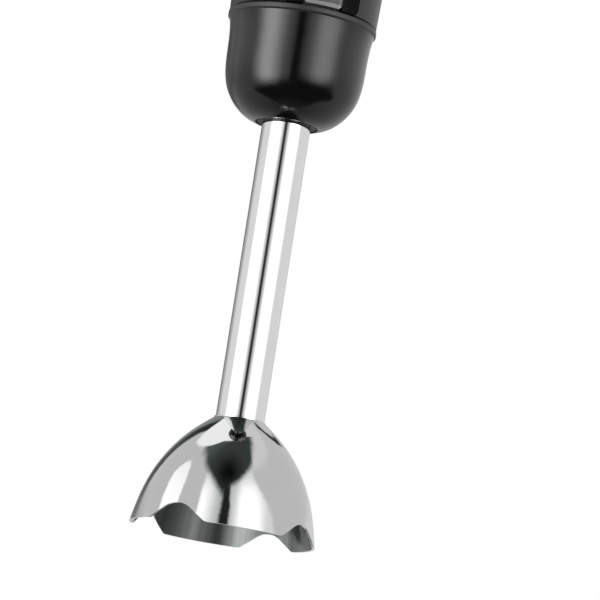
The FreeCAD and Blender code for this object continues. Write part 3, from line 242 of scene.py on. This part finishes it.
# Elevation by azimuth: lower ends of the softboxes, and the dark table edge under them
BOX_FOOT = [
    (-80, -30), (-60, -29), (-35, -29), (-22, -26), (-8, -24), (8, -15), (25, -17), (45, -17), (60, -13),
    (80, -12),
]
TABLE_TOP = [
    (-92, -60), (-86, -35), (-74, -38), (-60, -46), (-40, -48), (0, -34), (20, -30), (60, -26), (80, -24),
    (92, -29), (98, -60),
]
TABLE_FOOT = [
    (-92, -33), (-80, -50), (-70, -58), (-55, -64), (-20, -68), (40, -64), (62, -57), (80, -45), (98, -30),
]
# Azimuth by elevation: outer sides of the softboxes over that height, and both sides of the gap
LEFT_BOX_SIDE = [(15, -37), (32, -38), (46, -42), (58, -55)]
RIGHT_BOX_SIDE = [(18, 76), (28, 67), (37, 56), (46, 48), (56, 44)]
GAP_LEFT = -7.5
GAP_RIGHT = [(18, 7), (33, 6), (38, 4), (48, 3)]
# An oval lamp at the far left: its top as elevation by azimuth, its left side as azimuth by elevation
OVAL_TOP = [(-104, 28), (-101, 38), (-95, 46), (-88, 48.5), (-80, 46), (-72, 38), (-68, 28)]
OVAL_LEFT = [(12, -90), (26, -97), (38, -102)]
# Elevation by azimuth: foot of an unlit ceiling, lower in the middle, and of a bright one at the upper left
CEILING_FOOT = [
    (-102, 90), (-97, 61), (-84, 59), (-73, 59), (-57, 55), (-39, 50.5), (-22, 44), (-12, 39), (-9, 38),
    (3, 45), (10, 47), (20, 51.5), (32, 56.5), (44, 60.5), (52, 64), (60, 68), (69, 71), (82, 73),
    (122, 74), (128, 72), (131, 90),
]
BRIGHT_FOOT = [(-152, 52), (-122, 50), (-105, 55), (-95, 60), (-86, 67), (-80, 79), (-60, 86), (-30, 90)]
# Azimuth by elevation: middles of a dark flag at the back left and of a thin dark streak at the back right
FLAG_LINE = [(0, -158), (12, -153), (25, -151), (38, -148), (52, -146)]
STREAK_LINE = [(27, 162), (37, 153), (45, 150), (56, 153)]

UNLIT = 0.02                    # what no lamp reaches
PLAIN_TINT = (1, 1, 1, 1)
UNLIT_TINT = (0.86, 1.04, 0.99, 1)
DIFFUSE_RANGE = (0.76, 1.25)    # plain light from the back and below, and from the front and above


def direction(azimuth, elevation):
    """The world direction that lies at an azimuth and elevation as seen from the blender."""
    a, e = math.radians(azimuth), math.radians(elevation)
    level = Vector((math.cos(CAMERA_AZIMUTH), math.sin(CAMERA_AZIMUTH), 0))
    ahead = Vector((math.sin(CAMERA_AZIMUTH), -math.cos(CAMERA_AZIMUTH), 0))
    return (level * math.sin(a) + ahead * math.cos(a)) * math.cos(e) + Vector((0, 0, math.sin(e)))


class Sky(Tree):
    """The world's node tree, with the azimuth and elevation that each ray looks at."""

    def __init__(self, tree):
        super().__init__(tree)
        self.ray = self.node("ShaderNodeTexCoord").outputs["Generated"]
        x, y, z = self.split(self.ray)
        right, ahead = direction(90, 0), direction(0, 0)
        side = self.math("MULTIPLY_ADD", x, right.x, self.both(y, right.y))
        front = self.math("MULTIPLY_ADD", x, ahead.x, self.both(y, ahead.y))
        self.azimuth = self.math("DEGREES", self.math("ARCTAN2", side, front))
        self.elevation = self.math("DEGREES", self.math("ARCSINE", z))

    def disc(self, at, radius, soft):
        """Mask of a round part."""
        cosine = self.vector("DOT_PRODUCT", self.ray, direction(*at))
        angle = self.math("DEGREES", self.math("ARCCOSINE", cosine))
        return self.ramp(angle, radius - soft, radius + soft, 1.0, 0.0)

    def beside(self, line):
        """Degrees to either side of a line that leans with the elevation."""
        return self.math("ABSOLUTE", self.math("SUBTRACT", self.azimuth, self.curve(self.elevation, line)))


def studio_below(t):
    """Brightness level with the blender and below it."""
    azimuth, elevation = t.azimuth, t.elevation
    aside = t.math("ABSOLUTE", azimuth)
    level = t.curve(azimuth, LEVEL_ROUND)
    below = t.curve(elevation, SIDES_BELOW)
    level = t.patch(level, t.both(level, below), t.ramp(aside, 74, 82))
    # Under the softboxes
    under = t.lerp(t.curve(elevation, MIDDLE_BELOW), below, t.ramp(aside, 66, 84))
    low_down = t.over(t.curve(azimuth, BOX_FOOT), elevation, soft=14)
    level = t.patch(level, under, low_down, t.ramp(aside, 88, 78))
    # The table's dark edge
    under_top = t.over(t.curve(azimuth, TABLE_TOP), elevation, soft=7)
    over_foot = t.over(elevation, t.curve(azimuth, TABLE_FOOT), soft=8)
    level = t.patch(level, UNLIT, under_top, over_foot, t.band(azimuth, -88, 95, soft=3))
    # Behind: pale ground, and the foot of the flag
    level = t.patch(level, t.both(below, 0.95), t.ramp(aside, 92, 102), t.ramp(elevation, -4, -14))
    return t.patch(level, 0.35, t.band(azimuth, -158, -138, soft=5), t.band(elevation, -8, 11, soft=5))


def studio_above(t):
    """Brightness over the blender's own height."""
    azimuth, elevation = t.azimuth, t.elevation
    above = t.ramp(elevation, 55, 62, to_low=0.7, to_high=0.82)
    # The left softbox fades upwards and to its left side
    box = t.both(t.ramp(elevation, 30, 52, 1.6, 1.0), t.ramp(azimuth, -52, -34, 0.72, 1.0))
    right_of = t.over(azimuth, t.curve(elevation, LEFT_BOX_SIDE), soft=2.5)
    above = t.patch(above, box, right_of, t.ramp(azimuth, -8, -36))
    # The right softbox is brighter round its lamp
    box = t.lerp(0.95, 1.6, t.disc((32, 30), radius=17, soft=9))
    left_of = t.over(t.curve(elevation, RIGHT_BOX_SIDE), azimuth, soft=4)
    above = t.patch(above, box, t.ramp(azimuth, 0, 24), left_of)
    # The oval lamp
    right_of = t.over(azimuth, t.curve(elevation, OVAL_LEFT), soft=2)
    under_top = t.over(t.curve(azimuth, OVAL_TOP), elevation, soft=2)
    lamp = t.ramp(elevation, 22, 46, to_low=1.5, to_high=1.3)
    above = t.patch(above, lamp, right_of, t.ramp(azimuth, -67, -71), under_top)
    # Behind: a grey end on the left, the flag, the streak, and a half-lit end on the right
    above = t.patch(above, 0.3, t.ramp(azimuth, -150, -156))
    flag = t.ramp(elevation, 20, 45, to_low=0.1, to_high=0.03)
    above = t.patch(above, flag, t.ramp(t.beside(FLAG_LINE), 10, 4))
    streak = t.ramp(t.beside(STREAK_LINE), 3.6, 1.2)
    above = t.patch(above, 0.05, streak, t.band(elevation, 27, 55, soft=2))
    above = t.patch(above, 0.5, t.ramp(azimuth, 164, 170))
    # The unlit ceiling is darkest in front
    unlit = t.lerp(t.ramp(azimuth, -90, -40, 0.12, 0.055), 0.004, t.disc((-6, 56), radius=13, soft=12))
    ceiling = t.over(elevation, t.curve(azimuth, CEILING_FOOT), soft=4)
    above = t.patch(above, unlit, ceiling, t.band(azimuth, -99, 132, soft=3))
    # The gap between the softboxes runs up to the ceiling
    right_of = t.over(azimuth, GAP_LEFT, soft=3)
    left_of = t.over(t.curve(elevation, GAP_RIGHT), azimuth, soft=2.5)
    above = t.patch(above, UNLIT, right_of, left_of, t.ramp(elevation, 50, 42))
    # The bright ceiling
    bright = t.over(elevation, t.curve(azimuth, BRIGHT_FOOT), soft=1.5)
    return t.patch(above, 1.2, bright, t.band(azimuth, -154, -30, soft=3))


def world():
    """Mirrors see the whole studio, surfaces get a plain light of about 1, and the camera sees white."""
    made = bpy.data.worlds.new("studio")
    scene.world = made
    made.use_nodes = True
    t = Sky(made.node_tree)
    studio = t.lerp(studio_below(t), studio_above(t), t.ramp(t.elevation, 13, 20))
    in_front = t.ramp(t.math("ABSOLUTE", t.azimuth), 100, 20)
    plain = t.lerp(*DIFFUSE_RANGE, t.both(in_front, t.ramp(t.elevation, -30, 25)))
    strength = t.lerp(plain, studio, t.mirrored())
    strength = t.lerp(strength, 1.0, t.node("ShaderNodeLightPath").outputs["Is Camera Ray"])
    background = t.node("ShaderNodeBackground")
    tinted = t.both(t.ramp(t.elevation, 22, 36), t.ramp(strength, 0.4, 0.04))
    t.join(t.mix(tinted, PLAIN_TINT, UNLIT_TINT), background.inputs["Color"])
    t.join(strength, background.inputs["Strength"])
    t.join(background.outputs[0], t.node("ShaderNodeOutputWorld").inputs[0])


# ---- Floor: seen only from above, because the camera looks up at the blender from below it ----

FLOOR_HALF = 3.0
FLOOR_DROP = 0.0003         # under the rim, so that the two don't lie in one plane
FLOOR_COLOUR = (0.85, 0.85, 0.85, 1)
FLOOR_ROUGHNESS = 0.6
FLOOR_FADE = (0.3, 1.3)     # distances between which the floor runs out into the white backdrop
SHADE_RADIUS = 0.036        # of the painted shade under the bell, a dim glowing patch that the bell's inside mirrors
SHADE_EDGE = 0.002
SHADE_COLOUR = (0.96, 1.0, 0.98, 1)
SHADE_STRENGTH = 0.62


def floor_material():
    material = bpy.data.materials.new("floor")
    material.use_nodes = True
    t = Tree(material.node_tree)
    distance = t.vector("LENGTH", t.node("ShaderNodeTexCoord").outputs["Object"])
    paint = t.node("ShaderNodeBsdfPrincipled")
    paint.inputs["Base Color"].default_value = FLOOR_COLOUR
    paint.inputs["Roughness"].default_value = FLOOR_ROUGHNESS
    clear = t.node("ShaderNodeBsdfTransparent").outputs[0]
    from_below = t.node("ShaderNodeNewGeometry").outputs["Backfacing"]
    left_out = t.math("MAXIMUM", from_below, t.ramp(distance, *FLOOR_FADE))
    seen = t.mix_shader(left_out, paint.outputs[0], clear)
    # Mirrored: painted shade under the bell as a dim glowing patch, and the studio everywhere else
    dim = t.node("ShaderNodeEmission")
    dim.inputs["Color"].default_value = SHADE_COLOUR
    dim.inputs["Strength"].default_value = SHADE_STRENGTH
    under_bell = t.ramp(distance, SHADE_RADIUS, SHADE_RADIUS + SHADE_EDGE, 1.0, 0.0)
    surface = t.mix_shader(t.mirrored(), seen, t.mix_shader(under_bell, clear, dim.outputs[0]))
    t.join(surface, t.node("ShaderNodeOutputMaterial").inputs[0])
    return material


def floor():
    corners = [(-1, -1), (1, -1), (1, 1), (-1, 1)]
    mesh = bpy.data.meshes.new("floor")
    mesh.from_pydata([(x * FLOOR_HALF, y * FLOOR_HALF, 0) for x, y in corners], [], [(0, 1, 2, 3)])
    mesh.materials.append(floor_material())
    obj = bpy.data.objects.new("floor", mesh)
    scene.collection.objects.link(obj)
    obj.location.z = cad_low.z - FLOOR_DROP
    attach(obj, "stick")       # it stays under the bell when the stick is drawn off


# ---- Materials ----
# Every finish is worked out from the surface's own place and shape, in metres.

# Light and dark bands round the inside of the bell, by the angle from +Y towards +X in degrees. They stand
# for reflections, painted as tones of the steel. From -29 to 85 degrees they are brightnesses measured on
# the photo, as shares of the brightest, and the rest is made up.
INSIDE_TONE = [
    (-180, 0.3), (-140, 0.5), (-110, 0.3), (-80, 0.45), (-55, 0.16), (-40, 0.09), (-29, 0.07), (-19, 0.15),
    (-10, 0.32), (-6, 0.5), (0, 0.26), (5, 0.16), (10, 0.07), (13, 0.12), (16, 0.31), (20, 0.62),
    (24, 0.95), (28, 1.0), (32, 0.81), (38, 0.5), (48, 0.4), (60, 0.58), (66, 0.28), (72, 0.33),
    (85, 0.38), (110, 0.6), (145, 0.3), (165, 0.5), (180, 0.3),
]
INSIDE_STREAKS = ((3.5, 0.3), (16.0, 0.6))      # waves to a radian on top of that, and how strong they are

# Scales of the noises, in waves to a metre
BROAD_SCALE = 60.0
HAIRLINE_SCALE = 55.0
HAIRLINE_PATCHES = 45.0
ROUND_LINE_SCALE = 420.0
SPECK_SCALE = 420.0
SPECK_PATCHES = 130.0
WEAR_SCALE = 260.0

HAIRLINE_WAYS = ((0.5, 26.0), (-0.9, 19.0))     # turn in radians, and how much longer than wide
ROUND_LINE_DRIFT = 0.0022                       # metres to a radian: small, so a line goes far round
HAIRLINE_DULLS = 0.08                           # what is added to the roughness
SPECK_DULLS = 0.2
WEAR_DULLS = 0.04
EDGE_RADIUS = 0.0004
DUST_COLOUR = (0.35, 0.35, 0.34, 1)
BLACK = (0, 0, 0, 1)
IOR = 1.5
LEAST_ROUGHNESS = 0.02
BUMP_STRENGTH = 0.5


def noise(t, vector, scale, detail=3.0, rough=0.5):
    made = t.node("ShaderNodeTexNoise")
    t.join(vector, made.inputs["Vector"])
    made.inputs["Scale"].default_value = scale
    made.inputs["Detail"].default_value = detail
    made.inputs["Roughness"].default_value = rough
    return made.outputs["Fac"]


def mapped(t, vector, **settings):
    """A vector turned and stretched."""
    made = t.node("ShaderNodeMapping")
    for name, value in settings.items():
        made.inputs[name].default_value = value
    t.join(vector, made.inputs["Vector"])
    return made.outputs[0]


def surface_normal(t):
    return t.node("ShaderNodeTexCoord").outputs["Normal"]


def hairlines(t, place):
    """1 on long hairlines: the crests of two crossing stretched noises, in patches."""
    lines = []
    for turn, squeeze in HAIRLINE_WAYS:
        tilted = mapped(t, place, Rotation=(turn, turn * 0.6, turn), Scale=(1.0, 1.0, squeeze))
        crest = t.math("ABSOLUTE", t.math("SUBTRACT", noise(t, tilted, HAIRLINE_SCALE, 2), 0.5))
        lines.append(t.ramp(crest, 0.012, 0.002))
    patches = t.ramp(noise(t, place, HAIRLINE_PATCHES, 2), 0.5, 0.66)
    return t.both(t.math("MAXIMUM", *lines), patches)


def polishing_lines(t, place):
    """Lines that run round the axis: a height that changes mostly along Z."""
    x, y, z = t.split(place)
    ring = t.node("ShaderNodeCombineXYZ")
    t.join(t.both(t.math("ARCTAN2", x, y), ROUND_LINE_DRIFT), ring.inputs[0])
    t.join(z, ring.inputs[2])
    return noise(t, ring.outputs[0], ROUND_LINE_SCALE, 4, 0.6)


def specks(t, place):
    """1 on a few specks of dust."""
    cells = t.node("ShaderNodeTexVoronoi")
    t.join(place, cells.inputs["Vector"])
    cells.inputs["Scale"].default_value = SPECK_SCALE
    near = t.ramp(cells.outputs["Distance"], 0.09, 0.03)
    return t.both(near, t.ramp(noise(t, place, SPECK_PATCHES, 1), 0.52, 0.62))


def worn_edge(t, place):
    """1 on outer edges, 0 on open surface, and less on some edges than on others."""
    rounded = t.node("ShaderNodeBevel", samples=4)
    rounded.inputs["Radius"].default_value = EDGE_RADIUS
    sharp = t.node("ShaderNodeNewGeometry").outputs["Normal"]
    edges = t.ramp(t.vector("DOT_PRODUCT", rounded.outputs[0], sharp), 0.98, 0.85)
    return t.both(edges, t.ramp(noise(t, place, WEAR_SCALE), 0.3, 0.65, to_low=0.35))


def faces_axis(t, place):
    """1 on faces that look towards the blender's axis."""
    outward = t.vector("MULTIPLY", place, (1, 1, 0), output="Vector")
    return t.ramp(t.vector("DOT_PRODUCT", outward, surface_normal(t)), -0.0005, -0.002)


def painted_reflection_tone(t, place):
    """How light the bell's inside is: painted reflection bands that go round it, with streaks of drawn
    steel.
    """
    x, y = t.split(place)[:2]
    turn = t.math("ARCTAN2", x, y)
    tone = 1.0
    for scale, strength in INSIDE_STREAKS:
        streaks = t.node("ShaderNodeTexNoise", noise_dimensions="1D")
        t.join(turn, streaks.inputs["W"])
        streaks.inputs["Scale"].default_value = scale
        streaks.inputs["Detail"].default_value = 3
        tone = t.math("MULTIPLY_ADD", t.math("SUBTRACT", streaks.outputs["Fac"], 0.5), strength, tone)
    return t.both(tone, t.curve(t.math("DEGREES", turn), INSIDE_TONE))


def relief(t, heights):
    """The normal of a surface that carries several heights, each with its depth in metres."""
    normal = None
    for height, depth in heights:
        bump = t.node("ShaderNodeBump")
        bump.inputs["Strength"].default_value = BUMP_STRENGTH
        bump.inputs["Distance"].default_value = depth
        t.join(height, bump.inputs["Height"])
        t.join(normal, bump.inputs["Normal"])
        normal = bump.outputs[0]
    return normal


def finish_material(slot, colour, roughness, metallic=0.0, vary=0.06, rough_vary=0.05, grain=0.0,
                    grain_scale=900.0, stretch=(1, 1, 1), scratches=0.0, dust=0.0, edge=None,
                    round_lines=0.0, inside=None, under=None, specular=0.5):
    """Broad tone changes, a fine grain, hairline scratches, dust and edges that are handled bright.

    grain, scratches and round_lines are depths in metres. edge is the colour that worn edges take, and
    under the colour of faces that look down, a painted highlight. inside is the colour and roughness of the
    unpolished side that faces the blender's axis, which also takes INSIDE_TONE's painted reflection bands.
    """
    material = bpy.data.materials.new(slot)
    material.use_nodes = True
    t = Tree(material.node_tree)
    place = t.node("ShaderNodeTexCoord").outputs["Object"]
    shader = t.node("ShaderNodeBsdfPrincipled")
    shader.inputs["Metallic"].default_value = metallic
    shader.inputs["IOR"].default_value = IOR
    shader.inputs["Specular IOR Level"].default_value = specular
    fine = noise(t, mapped(t, place, Scale=stretch), grain_scale)
    dark = [c * (1 - vary) for c in colour] + [1]
    light = [min(1.0, c * (1 + vary)) for c in colour] + [1]
    tint = t.mix(t.ramp(noise(t, place, BROAD_SCALE, 4), 0.3, 0.7), dark, light)
    half = rough_vary * 0.5
    gloss = t.ramp(fine, 0.3, 0.7, roughness - half, roughness + half)
    gloss = t.math("ADD", gloss, t.ramp(noise(t, place, BROAD_SCALE * 0.5, 2), 0.35, 0.7, -half, half))
    heights = []
    if grain:
        heights.append((fine, grain))
    if scratches:
        lines = hairlines(t, place)
        gloss = t.math("ADD", gloss, t.both(lines, HAIRLINE_DULLS))
        heights.append((t.math("SUBTRACT", 1.0, lines), scratches))
    if round_lines:
        heights.append((polishing_lines(t, place), round_lines))
    if dust:
        few = specks(t, place)
        tint = t.mix(t.both(few, dust), tint, DUST_COLOUR)
        gloss = t.math("ADD", gloss, t.both(few, SPECK_DULLS))
    if edge:
        # Handling polishes a dull edge and dulls a glossy one
        wear = worn_edge(t, place)
        tint = t.mix(wear, tint, [*edge, 1])
        gloss = t.math("ADD", gloss, t.both(wear, -WEAR_DULLS if roughness > 0.2 else WEAR_DULLS))
    # Faces that look down take a painted highlight
    if under:
        upward = t.split(surface_normal(t))[2]
        tint = t.mix(t.ramp(upward, -0.25, -0.5), tint, [*under, 1])
    if inside:
        inner_colour, inner_rough = inside
        inner = faces_axis(t, place)
        # Painted reflection: light and dark bands round the inside, over the inside's own colour
        tint = t.mix(inner, tint, t.mix(painted_reflection_tone(t, place), BLACK, [*inner_colour, 1]))
        gloss = t.lerp(gloss, inner_rough, inner)
    t.join(tint, shader.inputs["Base Color"])
    t.join(t.math("MAXIMUM", gloss, LEAST_ROUGHNESS), shader.inputs["Roughness"])
    t.join(relief(t, heights), shader.inputs["Normal"])
    t.join(shader.outputs[0], t.node("ShaderNodeOutputMaterial").inputs[0])
    return material


PALE_EDGE = (0.62, 0.62, 0.6)
FINISHES = {
    "polished_steel": dict(
        colour=(0.67, 0.67, 0.675), roughness=0.06, metallic=1.0, vary=0.015, rough_vary=0.02,
        scratches=0.0000008, round_lines=0.0000016, inside=((0.72, 0.73, 0.725), 0.14)),
    "machined_steel": dict(
        colour=(0.5, 0.5, 0.5), roughness=0.26, metallic=1.0, grain=0.00002, stretch=(1, 1, 12),
        edge=PALE_EDGE),
    "blade_steel": dict(
        colour=(0.6, 0.6, 0.61), roughness=0.2, metallic=1.0, grain=0.00001, stretch=(1, 8, 1),
        scratches=0.000004, edge=(0.75, 0.75, 0.75)),
    "zinc_steel": dict(
        colour=(0.55, 0.55, 0.52), roughness=0.32, metallic=1.0, grain=0.00002, edge=PALE_EDGE),
    "black_gloss": dict(
        colour=(0.0035, 0.0035, 0.004), roughness=0.12, vary=0.2, rough_vary=0.03, grain=0.0000012,
        grain_scale=500.0, scratches=0.0000012, dust=0.35, edge=(0.03, 0.03, 0.032)),
    "black_satin": dict(
        colour=(0.011, 0.011, 0.0115), roughness=0.36, vary=0.15, grain=0.00003, grain_scale=2600.0,
        dust=0.25, edge=(0.04, 0.04, 0.042)),
    "button_dark": dict(
        colour=(0.022, 0.022, 0.023), roughness=0.36, vary=0.12, grain=0.00002, grain_scale=2600.0,
        dust=0.25, edge=(0.09, 0.09, 0.095)),
    # bright_trim: the under colour on faces that look down is a painted highlight, and the dark colour on
    # its other faces is painted shade
    "bright_trim": dict(
        colour=(0.1, 0.1, 0.102), roughness=0.3, metallic=0.55, vary=0.04, grain=0.000004,
        stretch=(1, 8, 1), scratches=0.000001, under=(0.62, 0.62, 0.63)),
    "core_plastic": dict(
        colour=(0.028, 0.028, 0.03), roughness=0.45, vary=0.12, grain=0.00003, grain_scale=1600.0,
        edge=(0.06, 0.06, 0.065)),
    "white_nylon": dict(
        colour=(0.62, 0.61, 0.57), roughness=0.42, grain=0.00002, grain_scale=1400.0,
        edge=(0.72, 0.71, 0.68)),
    "bronze": dict(
        colour=(0.48, 0.3, 0.15), roughness=0.3, metallic=1.0, vary=0.15, grain=0.00003, grain_scale=2200.0,
        edge=(0.66, 0.45, 0.26)),
    "soft_rubber": dict(
        colour=(0.014, 0.014, 0.015), roughness=0.58, vary=0.15, grain=0.00004, grain_scale=1800.0,
        dust=0.5),
    "silicone": dict(colour=(0.35, 0.35, 0.34), roughness=0.5, grain=0.00002, dust=0.3),
    "can_steel": dict(
        colour=(0.5, 0.5, 0.48), roughness=0.3, metallic=1.0, vary=0.1, grain=0.00002, stretch=(1, 1, 6),
        scratches=0.000002, edge=PALE_EDGE),
    "ferrite": dict(
        colour=(0.05, 0.05, 0.055), roughness=0.6, vary=0.2, grain=0.00005, edge=(0.09, 0.09, 0.095)),
    "laminations": dict(
        colour=(0.3, 0.31, 0.33), roughness=0.4, metallic=1.0, vary=0.15, grain=0.00004,
        stretch=(1, 1, 40)),
    "copper": dict(
        colour=(0.72, 0.36, 0.2), roughness=0.28, metallic=1.0, vary=0.15, grain=0.00004,
        stretch=(1, 1, 20)),
    "carbon": dict(colour=(0.03, 0.03, 0.03), roughness=0.55, vary=0.2, grain=0.00004),
    "board_green": dict(
        colour=(0.02, 0.12, 0.05), roughness=0.35, vary=0.2, grain=0.00002, edge=(0.2, 0.22, 0.12)),
    "part_black": dict(colour=(0.015, 0.015, 0.015), roughness=0.4, vary=0.15, grain=0.00002),
    "part_yellow": dict(colour=(0.6, 0.42, 0.06), roughness=0.4, vary=0.08, grain=0.00002),
}

# Nodes that look different from the rest of their slot
NODE_FINISHES = {
    "front_panel": ("panel_black", dict(
        colour=(0.003, 0.003, 0.003), roughness=0.24, vary=0.2, rough_vary=0.04, grain=0.000004,
        grain_scale=700.0, scratches=0.0000012, dust=0.3, edge=(0.012, 0.012, 0.0125), specular=0.05)),
    "seam_band": ("band_satin", dict(
        colour=(0.02, 0.02, 0.0205), roughness=0.42, vary=0.15, grain=0.00002, grain_scale=2400.0,
        dust=0.25, edge=(0.06, 0.06, 0.062))),
    "tube_exit_ring": ("ring_dark", dict(
        colour=(0.004, 0.004, 0.0045), roughness=0.45, vary=0.2, grain=0.00001, grain_scale=1800.0,
        dust=0.2, edge=(0.008, 0.008, 0.0085), specular=0.2)),
}


def materials():
    by_slot = {slot: finish_material(slot, **settings) for slot, settings in FINISHES.items()}
    by_node = {node: finish_material(name, **settings) for node, (name, settings) in NODE_FINISHES.items()}
    for node, obj in nodes.items():
        for slot in obj.material_slots:
            slot.material = by_node.get(node) or by_slot[slot.material.name.split(".")[0]]


# ---- Silicone membrane ----
# The sheet and its two domes are separate pieces.

DOME_BUTTONS = ("speed", "turbo")
DOME_RADIUS = 0.0043        # just over the dome's foot, so that it takes in the foot's edge
WELD_DISTANCE = 0.000001    # joins the corners that the CAD mesh has once for each face
SHARP_ANGLE = math.radians(30)


def dome_height(button):
    low_corner, high_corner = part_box(button + "_button")
    return (low_corner[2] + high_corner[2]) / 2


def on_dome(item, height):
    """Whether a face or an edge lies wholly on the dome at a height."""
    return all(math.hypot(v.co.x, v.co.z - height) < DOME_RADIUS for v in item.verts)


def membrane_piece(name, height=None):
    """The dome at one height, or the sheet without its domes when no height is given."""
    heights = [dome_height(button) for button in DOME_BUTTONS]
    mesh = nodes["button_membrane"].data.copy()
    grown = bmesh.new()
    grown.from_mesh(mesh)
    bmesh.ops.remove_doubles(grown, verts=grown.verts, dist=WELD_DISTANCE)
    for face in list(grown.faces):
        domes = [h for h in heights if on_dome(face, h)]
        if domes != ([] if height is None else [height]):
            grown.faces.remove(face)
    for edge in [e for e in grown.edges if not e.link_faces]:
        grown.edges.remove(edge)
    for vertex in [v for v in grown.verts if not v.link_edges]:
        grown.verts.remove(vertex)
    # Close the cut round each dome's foot
    for h in heights if height is None else [height]:
        rims = [e for e in grown.edges if e.is_boundary and on_dome(e, h)]
        bmesh.ops.bridge_loops(grown, edges=rims)
    bmesh.ops.recalc_face_normals(grown, faces=grown.faces)
    grown.to_mesh(mesh)
    grown.free()
    if "custom_normal" in mesh.attributes:
        mesh.attributes.remove(mesh.attributes["custom_normal"])
    mesh.set_sharp_from_angle(angle=SHARP_ANGLE)
    obj = bpy.data.objects.new(name, mesh)
    scene.collection.objects.link(obj)
    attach(obj, "handle")
    return obj


def membrane():
    sheet = membrane_piece("membrane_sheet")
    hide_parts("button_membrane")
    for button in DOME_BUTTONS:
        dome = membrane_piece(button + "_dome", dome_height(button))
        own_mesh(dome)


camera()
world()
floor()
materials()
membrane()
